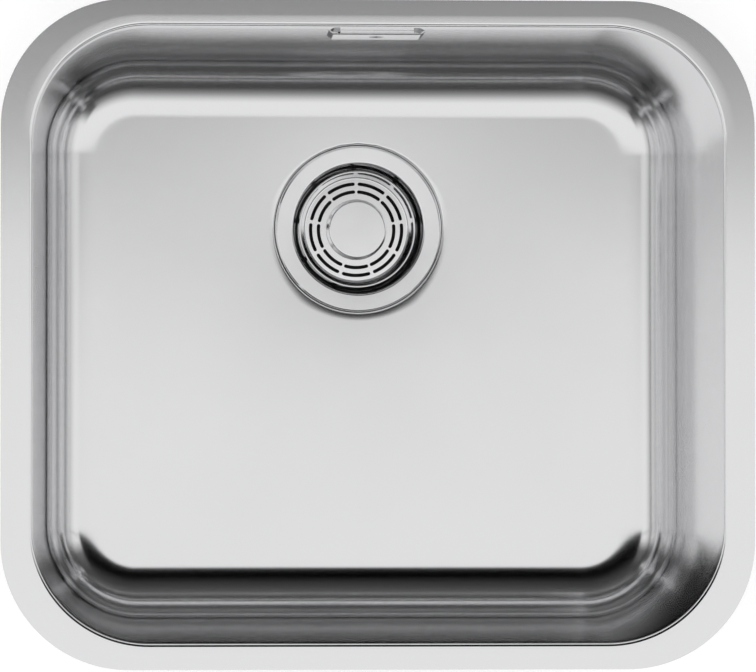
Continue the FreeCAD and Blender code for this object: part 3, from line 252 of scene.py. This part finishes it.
# The wall runs straight from the lip to the bend
reach_in = put(tree, "ShaderNodeMix", {0: on["wall"], 2: lip_in, 3: low_in})
high = put(tree, "ShaderNodeMix", {0: on["wall"], 2: lip_high, 3: low_high})
reach = put(tree, MATH, size["Corner radius"], reach_in, operation="SUBTRACT")
on_outline = put(tree, VECTOR, core, put(tree, VECTOR, {0: outward, "Scale": reach}, operation="SCALE"),
                 operation="ADD")
spot = put(tree, "ShaderNodeMix", {0: on["rim"], 4: rim_edge, 5: on_outline}, data_type="VECTOR")
# The floor runs in straight lines to the recess, which has a bent edge and a flat seat with the drain's hole
to_spot = put(tree, VECTOR, spot, middle, operation="SUBTRACT")
way = put(tree, VECTOR, to_spot, operation="NORMALIZE")
far = put(tree, VECTOR, to_spot, operation="LENGTH").outputs["Value"]
edge_start = put(tree, MATH, size["Recess radius"], size["Recess bend"], operation="ADD")
edge_high = put(tree, MATH, put(tree, MATH, size["Recess bend"], fall_tan, operation="MULTIPLY"), size["Depth"],
                operation="SUBTRACT")
floor_far = put(tree, "ShaderNodeMix", {0: on["floor"], 2: far, 3: edge_start})
floor_high = put(tree, "ShaderNodeMix", {0: on["floor"], 2: high, 3: edge_high})
edge_turn = put(tree, MATH, on["edge"], math.pi / 2, operation="MULTIPLY")
edge_far = put(tree, MATH, floor_far, put(tree, MATH, put(tree, MATH, edge_turn, operation="SINE"),
                                          size["Recess bend"], operation="MULTIPLY"), operation="SUBTRACT")
edge_drop = put(tree, MATH, put(tree, MATH, put(tree, MATH, edge_turn, operation="COSINE"), 1.0,
                                operation="SUBTRACT"), size["Recess bend"], floor_high, operation="MULTIPLY_ADD")
side = put(tree, MATH, size["Recess depth"], size["Recess bend"], operation="SUBTRACT")
seat_high = put(tree, MATH, edge_drop, put(tree, MATH, on["drop"], side, operation="MULTIPLY"), operation="SUBTRACT")
seat_far = put(tree, "ShaderNodeMix", {0: on["seat"], 2: edge_far, 3: size["Drain hole"]})
level = put(tree, VECTOR, {0: way, "Scale": seat_far}, operation="SCALE")
lifted = put(tree, VECTOR, middle, put(tree, "ShaderNodeCombineXYZ", 0.0, 0.0, seat_high), operation="ADD")
position = put(tree, VECTOR, level, lifted, operation="ADD")
grid = put(tree, "GeometryNodeMeshGrid", 1.0, 1.0, 4 * quarter_steps + 1, rows)
shaped = put(tree, "GeometryNodeSetPosition", {"Geometry": grid, "Position": position})
closed = put(tree, "GeometryNodeMergeByDistance", {"Geometry": shaped, "Distance": 1e-6})
end_tree(tree, closed, pressed_steel)

# The overflow's hole is an oblong, punched square to the back wall, this far down it from the opening's edge
overflow_drop = 0.027
back_wall = Matrix.Translation((0, bowl_sizes["Half length"] - overflow_drop * math.sin(bowl_sizes["Wall lean"]),
                                -overflow_drop * math.cos(bowl_sizes["Wall lean"])))
back_wall = back_wall @ Matrix.Rotation(-bowl_sizes["Wall lean"], 4, "X")
punch_mesh = bmesh.new()
hole_width, hole_height, hole_corner = 0.050, 0.012, 0.0059
hole_steps, punch_reach = 12, 0.003
outline = []
for across, up, start in ((1, -1, -90), (1, 1, 0), (-1, 1, 90), (-1, -1, 180)):
    for i in range(hole_steps + 1):
        angle = math.radians(start + i * (90 / hole_steps))
        outline.append((across * (hole_width / 2 - hole_corner) + hole_corner * math.cos(angle),
                        up * (hole_height / 2 - hole_corner) + hole_corner * math.sin(angle)))
front = [punch_mesh.verts.new(back_wall @ Vector((x, -punch_reach, z))) for x, z in outline]
face = punch_mesh.faces.new(front)
out = bmesh.ops.extrude_face_region(punch_mesh, geom=[face])["geom"]
bmesh.ops.translate(punch_mesh, vec=back_wall.to_3x3() @ Vector((0, 2 * punch_reach, 0)),
                    verts=[v for v in out if isinstance(v, bmesh.types.BMVert)])
bmesh.ops.recalc_face_normals(punch_mesh, faces=punch_mesh.faces)
punch = add("overflow_punch", bpy.data.meshes.new("overflow_punch"))
punch_mesh.to_mesh(punch.data)
punch_mesh.free()

bowl = grow("bowl_pressing", tree, bowl_sizes, modifiers=[
    ("SOLIDIFY", {"thickness": sheet_thickness, "offset": -1.0, "use_even_offset": True}),
    ("BOOLEAN", {"object": punch, "operation": "DIFFERENCE", "solver": "EXACT"}),
])
bpy.data.objects.remove(punch)
smooth(bowl)
# The sheet's other side keeps its dull mill finish: grey, with the rolling's fine grain. That side faces down.
mill_steel = satin_steel("cold_rolled_stainless", "#B4B5B7", 0.36, 0.8, (1, 12, 1), 0.10)
bowl.data.materials.clear()
for steel in (pressed_steel, mill_steel):
    bowl.data.materials.append(steel)
faces_down = -0.02
for face in bowl.data.polygons:
    face.material_index = 1 if face.normal.z < faces_down else 0
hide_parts("bowl")
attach(bowl, "sink")


# ------------------------------------------------------------------------------------- damping pads
# Five sheets of bitumen-filled rubber, glued under the floor and on the two side walls. They deaden the sound
# of running water. The sheet is rolled and cut, so it is matt, nearly black, and a little leathery.

def coat(material, *nodes):
    """Gives CAD pieces, which keep their meshes, this material."""
    for node in nodes:
        for place in bpy.data.objects[node].material_slots:
            place.material = material


def moulded(name, tint, roughness, grain, depth, metallic=0.0):
    """A moulded or cast surface: a little cloudy, with fine grain whose size and depth are in mm."""
    material, tree = new_material(name)
    place = put(tree, "ShaderNodeTexCoord").outputs["Object"]
    cloud = put(tree, "ShaderNodeTexNoise", {"Vector": place, "Scale": 45.0, "Detail": 3.0})
    fine = put(tree, "ShaderNodeTexNoise", {"Vector": place, "Scale": 1000 / grain, "Detail": 2.0})
    cloud_shade = 0.86
    darker = [channel * cloud_shade for channel in colour(tint)[:3]] + [1]
    blend = put(tree, "ShaderNodeMix", {0: put(tree, MAP, cloud, *NOISE), 6: darker, 7: colour(tint)},
                data_type="RGBA")
    sheen = put(tree, MAP, fine, *NOISE, roughness * 0.88, roughness * 1.12)
    relief = put(tree, "ShaderNodeBump", {"Height": fine, "Strength": 1.0, "Distance": depth / 1000})
    put(tree, "ShaderNodeOutputMaterial",
        put(tree, "ShaderNodeBsdfPrincipled", {"Base Color": blend, "Metallic": metallic, "Roughness": sheen,
                                               "Normal": relief}))
    return material


# Rolled bitumen rubber: matt black-grey with the soft pebble that the rollers leave
damping_rubber = moulded("rolled_damping_rubber", "#2B2B2D", 0.78, 1.4, 0.05)
coat(damping_rubber, "floor_pad_front", "floor_pad_left", "floor_pad_right", "wall_pad_left", "wall_pad_right")


# --------------------------------------------------------------------------------------- drain flange
# The drain's flange and cup are one deep-drawn piece of stainless steel. It is turned and polished, so its
# land has faint rings. A web of five arms in its throat holds the centre screw.

# Steps in a fillet, the shortest run that gets extra points, and how far from its ends they are, in mm
FILLET_STEPS, LONG_RUN, SUPPORT = 8, 1.2, 0.15


def arc(points):
    """An outline in mm whose corners are rounded: each point is (radius, height) or (radius, height, fillet).

    A long straight run has a point close to each end, so that smooth shading leaves it flat between them.
    """
    out = []
    count = len(points)
    for number, point in enumerate(points):
        here = Vector(point[:2])
        fillet = point[2] if len(point) > 2 else 0
        if not fillet:
            out.append(here)
            continue
        before = (Vector(points[number - 1][:2]) - here).normalized()
        after = (Vector(points[(number + 1) % count][:2]) - here).normalized()
        half = before.angle(after) / 2
        centre = here + (before + after).normalized() * (fillet / math.sin(half))
        start = here + before * (fillet / math.tan(half)) - centre
        end = here + after * (fillet / math.tan(half)) - centre
        sweep = start.angle(end)
        for i in range(FILLET_STEPS + 1):
            out.append(centre + (start * math.sin((FILLET_STEPS - i) / FILLET_STEPS * sweep)
                                 + end * math.sin(i / FILLET_STEPS * sweep)) / math.sin(sweep))
    close = []
    for here, after in zip(out, out[1:] + out[:1]):
        close.append(here)
        run = after - here
        if run.length > LONG_RUN:
            close += [here + run.normalized() * SUPPORT, after - run.normalized() * SUPPORT]
    return close


def lathe(name, outline, turns=160, frame_at=None):
    """A closed mesh turned from an outline in mm round the drain's axis, its seam and poles merged."""
    mesh = bmesh.new()
    rings = []
    for turn in range(turns):
        angle = 2 * math.pi * turn / turns
        rings.append([mesh.verts.new((p.x * math.cos(angle) / 1000, p.x * math.sin(angle) / 1000, p.y / 1000))
                      for p in outline])
    count = len(outline)
    for turn in range(turns):
        one, two = rings[turn], rings[(turn + 1) % turns]
        for i in range(count):
            j = (i + 1) % count
            if outline[i].x < 1e-6 and outline[j].x < 1e-6:
                continue
            mesh.faces.new((one[i], two[i], two[j], one[j]))
    bmesh.ops.remove_doubles(mesh, verts=mesh.verts, dist=1e-7)
    bmesh.ops.dissolve_degenerate(mesh, dist=1e-7, edges=mesh.edges)
    bmesh.ops.recalc_face_normals(mesh, faces=mesh.faces)
    bmesh.ops.transform(mesh, matrix=frame_at or Matrix.Translation(drain), verts=mesh.verts)
    data = bpy.data.meshes.new(name)
    mesh.to_mesh(data)
    mesh.free()
    return add(name, data)


def turned_steel(name, tint, roughness, pitch, depth):
    """Stainless steel polished on a lathe: rings this far apart in mm round the drain's axis."""
    material, tree = new_material(name)
    place = put(tree, "ShaderNodeTexCoord").outputs["Object"]
    centred = put(tree, "ShaderNodeMapping", {"Vector": place, "Location": (0, -drain.y, 0)})
    flat = put(tree, VECTOR, centred, (1, 1, 0), operation="MULTIPLY")
    radius = put(tree, VECTOR, flat, operation="LENGTH").outputs["Value"]
    rings = put(tree, "ShaderNodeTexNoise", {"W": put(tree, MATH, radius, 1000 / pitch, operation="MULTIPLY"),
                                             "Scale": 1.0, "Detail": 3.0}, noise_dimensions="1D")
    cloud = put(tree, "ShaderNodeTexNoise", {"Vector": place, "Scale": 60.0, "Detail": 2.0})
    both = put(tree, MATH, rings, cloud, operation="ADD")
    sheen = put(tree, MAP, both, *TWO_NOISES, roughness * 0.8, roughness * 1.2)
    relief = put(tree, "ShaderNodeBump", {"Height": rings, "Strength": depth, "Distance": MARK_HEIGHT})
    put(tree, "ShaderNodeOutputMaterial",
        put(tree, "ShaderNodeBsdfPrincipled", {"Base Color": colour(tint), "Metallic": 1.0, "Roughness": sheen,
                                               "Normal": relief}))
    return material


# 18/10 stainless, spun and polished: brighter and sharper than the bowl, with rings from the polishing wheel
polished_steel = turned_steel("turned_polished_stainless", "#ECECED", 0.11, 0.4, 0.08)

flange_outline = arc([(56, -1.5), (56, -1.35), (54.6, -0.3, 0.4), (44, -0.55, 1.1), (43, -9.8), (43, -25.3, 3.6),
                      (29, -31.3, 0.6), (29, -36.3), (30.2, -36.3), (30.2, -32), (44.2, -26), (44.2, -9.8),
                      (45.2, -1.5)])
flange = lathe("drain_flange", flange_outline)
smooth(flange)
flange.data.materials.append(polished_steel)

# The web: five bars that run out into the throat's wall, and a boss in the middle for the screw
web = bmesh.new()
bars, bar_size, bar_middle = 5, (0.005, 0.0226, 0.003), (0, 0.0183, -0.0358)
for bar in range(bars):
    made = bmesh.ops.create_cube(web, size=1.0)["verts"]
    bmesh.ops.scale(web, vec=bar_size, verts=made)
    bmesh.ops.translate(web, vec=bar_middle, verts=made)
    bmesh.ops.rotate(web, cent=(0, 0, 0), matrix=Matrix.Rotation(math.radians(360 / bars * bar), 3, "Z"),
                     verts=made)
bmesh.ops.bevel(web, geom=web.edges[:], offset=0.0004, segments=2, affect="EDGES", profile=0.5)
bmesh.ops.transform(web, matrix=Matrix.Translation(drain), verts=web.verts)
web_data = bpy.data.meshes.new("flange_web")
web.to_mesh(web_data)
web.free()
web_piece = add("flange_web", web_data)
web_data.materials.append(polished_steel)
smooth(web_piece)
boss = lathe("flange_boss", arc([(9, -33.3, 0.4), (9, -38.5, 0.4), (5.3, -38.5), (5.3, -33.3)]), turns=64)
boss.data.materials.append(polished_steel)
smooth(boss)
for piece in (flange, web_piece, boss):
    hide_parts("waste_flange")
    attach(piece, "sink")


# ------------------------------------------------------------------------------- under the drain
# A moulded polypropylene body hangs from the flange by one centre screw, which turns in a brass insert. Rubber
# rings seal it to the bowl's two sides. It has eight ribs, the outlet's collar, and an inlet from the overflow.

# Moulded polypropylene, light grey: a soft sheen with the faint orange peel of the mould
moulded_plastic = moulded("moulded_polypropylene", "#C9CBCC", 0.42, 0.9, 0.012)
# Nitrile rubber, moulded: black and nearly matt
moulded_rubber = moulded("moulded_nitrile_rubber", "#1B1B1C", 0.62, 0.6, 0.01)
# Drawn and machined stainless for screws: bright, with the die's fine marks
machined_steel = moulded("machined_stainless", "#D2D2D3", 0.24, 0.25, 0.002, metallic=1.0)
# Turned brass, left raw
turned_brass = moulded("turned_brass", "#D9B566", 0.28, 0.3, 0.002, metallic=1.0)
coat(moulded_plastic, "waste_body", "overflow_head")
coat(moulded_rubber, "flange_seal", "under_seal", "cone_seal", "overflow_gasket", "stem_ring", "basket_seal")
coat(machined_steel, "centre_screw", "screw_washer", "hose_clip", "basket_stem", "seal_plate", "stem_nut",
     "overflow_screw")
coat(turned_brass, "body_insert", "overflow_insert")


# ------------------------------------------------------------------------------------------- strainer
# The basket is a dish of 0.9 mm stainless sheet with a rolled rim. Two rings of nine arc slots are punched
# through its plate, with a bridge between slots at the back. A waisted steel knob lifts it.

strainer_sizes = {
    "Slots": 9.0,
    "Outer slots": 0.0308,
    "Inner slots": 0.0255,
    "Slot width": 0.0023,
    "Slot turn": math.radians(32.0),
    "Plate height": -0.02075,
    "Punch height": 0.004,
}
tree, size = new_tree("punched_plate", strainer_sizes)
cutters = []
for label in ("Outer slots", "Inner slots"):
    half_turn = put(tree, MATH, size["Slot turn"], -0.5, operation="MULTIPLY")
    line = put(tree, "GeometryNodeCurveArc", {"Resolution": 20, "Radius": size[label], "Start Angle": half_turn,
                                              "Sweep Angle": size["Slot turn"]}, mode="RADIUS")
    section = put(tree, "GeometryNodeCurvePrimitiveQuadrilateral", {0: size["Slot width"], 1: size["Punch height"]})
    bar = put(tree, "GeometryNodeCurveToMesh", {"Curve": line, "Profile Curve": section, "Fill Caps": True})
    ends = put(tree, "GeometryNodeCurveToPoints", {"Curve": line, "Count": 2}, mode="COUNT")
    half_width = put(tree, MATH, size["Slot width"], 0.5, operation="MULTIPLY")
    round_end = put(tree, "GeometryNodeMeshCylinder", {"Vertices": 20, "Radius": half_width,
                                                       "Depth": size["Punch height"]})
    rounds = put(tree, "GeometryNodeInstanceOnPoints", {"Points": ends, "Instance": round_end})
    joined = put(tree, "GeometryNodeJoinGeometry")
    for part in (bar, rounds):
        tree.links.new(part.outputs[0], joined.inputs[0])
    lift = put(tree, "ShaderNodeCombineXYZ", 0.0, 0.0, size["Plate height"])
    slots = put(tree, "GeometryNodePoints", {"Count": put(tree, "FunctionNodeFloatToInt", size["Slots"]),
                                             "Position": lift})
    step = put(tree, MATH, 2 * math.pi, size["Slots"], operation="DIVIDE")
    # Half a step past the back, so that a bridge points there
    turn = put(tree, MATH, put(tree, MATH, put(tree, "GeometryNodeInputIndex"), 0.5, operation="ADD"), step,
               operation="MULTIPLY")
    turn = put(tree, MATH, turn, math.pi / 2, operation="ADD")
    turned = put(tree, "ShaderNodeCombineXYZ", 0.0, 0.0, turn)
    round_plate = put(tree, "GeometryNodeInstanceOnPoints", {"Points": slots, "Instance": joined, "Rotation": turned})
    cutters.append(put(tree, "GeometryNodeRealizeInstances", round_plate))
both = put(tree, "GeometryNodeJoinGeometry")
for cutter in cutters:
    tree.links.new(cutter.outputs[0], both.inputs[0])
punched = put(tree, "GeometryNodeMeshBoolean", {0: size["Geometry"], "Self Intersection": True},
              operation="DIFFERENCE", solver="EXACT")
tree.links.new(both.outputs[0], punched.inputs[1])
placed = put(tree, "GeometryNodeTransform", {"Geometry": punched, "Translation": tuple(drain)})
end_tree(tree, placed, polished_steel)

dish_outline = arc([(3.1, -20.3), (22, -20.3), (33, -20.3), (35, -20.3, 0.9), (38, -10.9), (38, -10.3, 0.45),
                    (39.4, -10.3, 0.45), (39.4, -11.5, 0.45), (38.9, -11.5), (35.9, -21.2, 1.8), (33, -21.2),
                    (22, -21.2), (3.1, -21.2)])
dish = lathe("dish_blank", dish_outline, frame_at=Matrix.Identity(4))
basket = grow("strainer_dish", tree, strainer_sizes, seed=dish.data)
bpy.data.objects.remove(dish)
smooth(basket)
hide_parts("strainer_basket")
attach(basket, "strainer")

knob_outline = arc([(0, -10.3), (19, -10.3, 0.7), (19, -11.9, 0.3), (17.6, -14.3, 1.5), (17.6, -17.7, 1.0),
                    (20.5, -19.2, 0.3), (20.5, -20.2), (19.3, -20.2), (16.4, -18.7), (16.4, -12.5), (15.4, -11.5),
                    (6, -11.5), (6, -20.2), (3.1, -20.2), (3.1, -12), (0, -12)])
knob = lathe("strainer_knob", knob_outline)
knob.data.materials.append(polished_steel)
smooth(knob)
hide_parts("basket_knob")
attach(knob, "strainer")


# ------------------------------------------------------------------------------------------- overflow
# A pressed stainless hood covers the hole in the back wall. One countersunk screw pulls a moulded head and its
# gasket to the wall from behind. The water goes down a corrugated hose into the drain's body.

coat(polished_steel, "overflow_cover")

hose_sizes = {
    "Cuff": 0.0097,
    "Cuff length": 0.021,
    "Cuff taper": 0.001,
    "Valley": 0.0082,
    "Crest": 0.0095,
    "Ribs": 40.0,
    "Bore": 0.0072,
}
# The hose runs down behind the wall, turns in one bend, and ends level in the inlet's nut
lean = bowl_sizes["Wall lean"]
down = Vector((0, -math.sin(lean), -math.cos(lean)))
backward = Vector((0, math.cos(lean), -math.sin(lean)))
hose_start = Vector((0, 0.20867, -0.04408))
hose_end = Vector((0, 0.133, -0.210))
level_run = 0.0225
drop_steps, bend_steps, level_steps = 24, 36, 6
hose_corner = hose_start + down * ((hose_start.z - hose_end.z) / -down.z)
sweep = math.pi / 2 - lean
trim = hose_corner.y - hose_end.y - level_run
bend_radius = trim / math.tan(sweep / 2)
bend_centre = hose_corner - down * trim - backward * bend_radius
straight = (hose_corner - hose_start).length - trim
path_points = [hose_start + down * (straight * i / drop_steps) for i in range(drop_steps)]
for i in range(bend_steps + 1):
    path_points.append(bend_centre + Matrix.Rotation(-sweep * i / bend_steps, 3, "X") @ (backward * bend_radius))
for i in range(1, level_steps + 1):
    path_points.append(hose_end + Vector((0, level_run * (level_steps - i) / level_steps, 0)))
path_mesh = bpy.data.meshes.new("hose_path")
path_mesh.from_pydata(path_points, [(i, i + 1) for i in range(len(path_points) - 1)], [])

# The radius follows the ribs along the path; the cuffs are plain, with a short taper to the first valley
tree, size = new_tree("ribbed_hose", hose_sizes)
line = put(tree, "GeometryNodeMeshToCurve", size["Geometry"])
line = put(tree, "GeometryNodeResampleCurve", {"Curve": line, "Count": 640}, mode="COUNT")
along = put(tree, "GeometryNodeSplineParameter").outputs["Length"]
whole = put(tree, "GeometryNodeSplineLength").outputs["Length"]
from_end = put(tree, MATH, along, put(tree, MATH, whole, along, operation="SUBTRACT"), operation="MINIMUM")
ribbed = put(tree, MATH, whole, put(tree, MATH, size["Cuff length"], 2.0, operation="MULTIPLY"), operation="SUBTRACT")
phase = put(tree, MATH, put(tree, MATH, along, size["Cuff length"], operation="SUBTRACT"), ribbed, operation="DIVIDE")
phase = put(tree, MATH, put(tree, MATH, phase, size["Ribs"], operation="MULTIPLY"), 2 * math.pi, operation="MULTIPLY")
wave = put(tree, MAP, put(tree, MATH, phase, operation="COSINE"), 0.7, -0.7, size["Valley"], size["Crest"],
           interpolation_type="SMOOTHSTEP")
taper_end = put(tree, MATH, size["Cuff length"], size["Cuff taper"], operation="ADD")
radius = put(tree, MAP, from_end, size["Cuff length"], taper_end, size["Cuff"], wave)
shaped = put(tree, "GeometryNodeSetCurveRadius", {"Curve": line, "Radius": radius})
ring = put(tree, "GeometryNodeCurvePrimitiveCircle", {"Resolution": 56, "Radius": 1.0}, mode="RADIUS")
outside = put(tree, "GeometryNodeCurveToMesh", {"Curve": shaped, "Profile Curve": ring, "Scale": radius,
                                                "Fill Caps": True})
# The bore is cut out along the same path, drawn a little past both ends
ends = put(tree, "GeometryNodeCurveEndpointSelection", {"Start Size": 1, "End Size": 1})
sign = put(tree, MAP, put(tree, "GeometryNodeSplineParameter").outputs["Factor"], 0.0, 1.0, -0.002, 0.002)
past = put(tree, VECTOR, {0: put(tree, "GeometryNodeInputTangent"), "Scale": sign}, operation="SCALE")
longer = put(tree, "GeometryNodeSetPosition", {"Geometry": line, "Selection": ends, "Offset": past})
bore = put(tree, "GeometryNodeCurveToMesh", {"Curve": longer, "Profile Curve": ring, "Scale": size["Bore"],
                                             "Fill Caps": True})
hollow = put(tree, "GeometryNodeMeshBoolean", {0: outside}, operation="DIFFERENCE", solver="EXACT")
tree.links.new(bore.outputs[0], hollow.inputs[1])
# Blow-moulded polypropylene, soft and cloudy
hose_plastic = moulded("blown_polypropylene", "#D6D7D6", 0.5, 1.2, 0.02)
end_tree(tree, hollow, hose_plastic)
hose = grow("ribbed_hose", tree, hose_sizes, seed=path_mesh)
smooth(hose, sharp=50)
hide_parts("overflow_hose")
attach(hose, "sink")
coat(hose_plastic, "union_nut")


# -------------------------------------------------------------------------------------------- studio
# The sink is photographed from straight above, a little to the left of its middle, on a pale floor in a white
# room. Cloths that only metal sees hang round and over it, so that its polish has something dark to show.

camera = add("camera", bpy.data.cameras.new("camera"))
camera.data.lens = 354.1
camera.data.clip_end = 20.0
camera.location = (-0.375, -0.105, 4.8)
aim = Vector((-0.0008, -0.001, 0))
line = (camera.location - aim).normalized()
right = Vector((0, 1, 0)).cross(line).normalized()
camera.rotation_euler = Matrix((right, line.cross(right), line)).transposed().to_euler()
scene.camera = camera


def seen(tree):
    """One for rays from the camera, or by way of metal or glass, and nought for the rays that light things."""
    path = put(tree, "ShaderNodeLightPath").outputs
    plain = put(tree, MATH, path["Is Camera Ray"], path["Is Glossy Ray"], operation="MAXIMUM")
    return put(tree, MATH, plain, path["Is Transmission Ray"], operation="MAXIMUM")


world = bpy.data.worlds.new("white_room")
world.use_nodes = True
scene.world = world
tree = world.node_tree
tree.nodes.clear()
world_light, world_white = 0.8, 1.0
brightness = put(tree, MAP, seen(tree), 0.0, 1.0, world_light, world_white)
put(tree, "ShaderNodeOutputWorld", put(tree, "ShaderNodeBackground", colour("#FFFFFF"), brightness))

lamp = add("overhead_lamp", bpy.data.lights.new("overhead_lamp", "AREA"))
lamp.data.shape = "RECTANGLE"
lamp.data.size, lamp.data.size_y = 1.8, 1.2
lamp.data.energy = 14.0
lamp.location = (-0.3, -0.3, 2.2)
lamp.rotation_euler = (Vector((0, 0, 0)) - lamp.location).to_track_quat("-Z", "Y").to_euler()
lamp.visible_glossy = False
lamp.visible_camera = False


def cloth(name, corners, across, stops):
    """A black cloth, seen only by metal, between four corners. It is as dense as the stops say along one axis."""
    mesh = bpy.data.meshes.new(name)
    mesh.from_pydata(corners, [], [(0, 1, 2, 3)])
    panel = add(name, mesh)
    for ray in ("camera", "diffuse", "transmission", "volume_scatter", "shadow"):
        setattr(panel, "visible_" + ray, False)
    material, tree = new_material(name)
    place = put(tree, "ShaderNodeSeparateXYZ", put(tree, "ShaderNodeTexCoord").outputs["Object"]).outputs[across]
    first, last = stops[0][0], stops[-1][0]
    ramp = put(tree, "ShaderNodeValToRGB", put(tree, MAP, place, first, last, 0.0, 1.0))
    steps = ramp.color_ramp.elements
    for number, (where, density) in enumerate(stops):
        step = steps[number] if number < 2 else steps.new(1.0)
        step.position = (where - first) / (last - first)
    for step, (where, density) in zip(sorted(steps, key=lambda s: s.position), stops):
        step.color = (density, density, density, 1)
    clear = put(tree, "ShaderNodeBsdfTransparent")
    dark = put(tree, "ShaderNodeEmission", colour("#000000"), 0.0)
    put(tree, "ShaderNodeOutputMaterial", put(tree, "ShaderNodeMixShader", ramp, clear, dark))
    mesh.materials.append(material)


# The four side cloths hang from the top cloth, this far from the middle, and end well above the floor. The thinnest
# cloth is a scrim, which takes a tenth of the light. The band is a narrow cloth that hangs under the top one, and
# the corner cloths hang just inside the ones at the sides.
low, band_height, top, away = 1.35, 1.5, 4.0, 4.0
scrim = 0.10
cloth("cloth_over", [(-away, -away, top), (away, -away, top), (away, away, top), (-away, away, top)],
      "Y", [(-away, 0.58), (-3.3, 0.40), (-2.2, scrim), (0.40, scrim), (0.46, 0.80), (0.50, 0.84), (0.58, 1.0),
            (2.0, 1.0), (away, 0.95)])
band_end = 0.4
cloth("cloth_band", [(-away, 0.0, band_height), (away, 0.0, band_height),
                     (away, band_end, band_height), (-away, band_end, band_height)],
      "Y", [(0.0, 0.0), (0.11, 0.0), (0.165, 0.18), (0.20, 0.33), (0.25, 0.31), (0.29, 0.0), (band_end, 0.0)])
cloth("cloth_behind", [(-away, away, low), (away, away, low), (away, away, top), (-away, away, top)],
      "Z", [(low, 0.86), (2.2, 0.91), (top, 0.96)])
cloth("cloth_in_front", [(-away, -away, low), (away, -away, low), (away, -away, top), (-away, -away, top)],
      "Z", [(low, 1.0), (1.8, 0.96), (2.4, 0.88), (3.7, 0.66), (top, 0.58)])
cloth("cloth_left", [(-away, -away, low), (-away, away, low), (-away, away, top), (-away, -away, top)],
      "Z", [(low, 0.8), (1.6, 0.75), (2.1, 0.32), (2.8, scrim), (top, scrim)])
cloth("cloth_right", [(away, -away, low), (away, away, low), (away, away, top), (away, -away, top)],
      "Z", [(low, 0.45), (1.6, 0.4), (2.1, 0.2), (2.8, scrim), (top, scrim)])
corner_gap = 0.01
for side, name in ((-1, "cloth_left_corner"), (1, "cloth_right_corner")):
    x = side * (away - corner_gap)
    for end, reach, near in ((-1, 1.8, 2.8), (1, 0.9, 1.8)):
        cloth(name + ("_front" if end < 0 else "_back"),
              [(x, end * reach, low), (x, end * away, low), (x, end * away, top), (x, end * reach, top)],
              "Y", [(end * reach, 0.0), (end * near, 0.85), (end * away, 0.95)][::end])

# The floor lies 1 mm under the outlet's lower end
floor_reach, floor_level = 40, -0.2665
floor_mesh = bpy.data.meshes.new("floor")
square = ((-1, -1), (1, -1), (1, 1), (-1, 1))
floor_mesh.from_pydata([(x * floor_reach, y * floor_reach, floor_level) for x, y in square], [], [(0, 1, 2, 3)])
floor = add("floor", floor_mesh)
# Pale matt paint. It also glows a little where it is seen, so that it looks nearly white
pale, tree = new_material("pale_studio_floor")
floor_glow = 0.3
lit = put(tree, "ShaderNodeBsdfDiffuse", colour("#F4F4F4"))
lift = put(tree, "ShaderNodeEmission", colour("#FFFFFF"), put(tree, MAP, seen(tree), 0.0, 1.0, 0.0, floor_glow))
put(tree, "ShaderNodeOutputMaterial", put(tree, "ShaderNodeAddShader", lit, lift))
floor_mesh.materials.append(pale)

scene.view_settings.view_transform = "Standard"
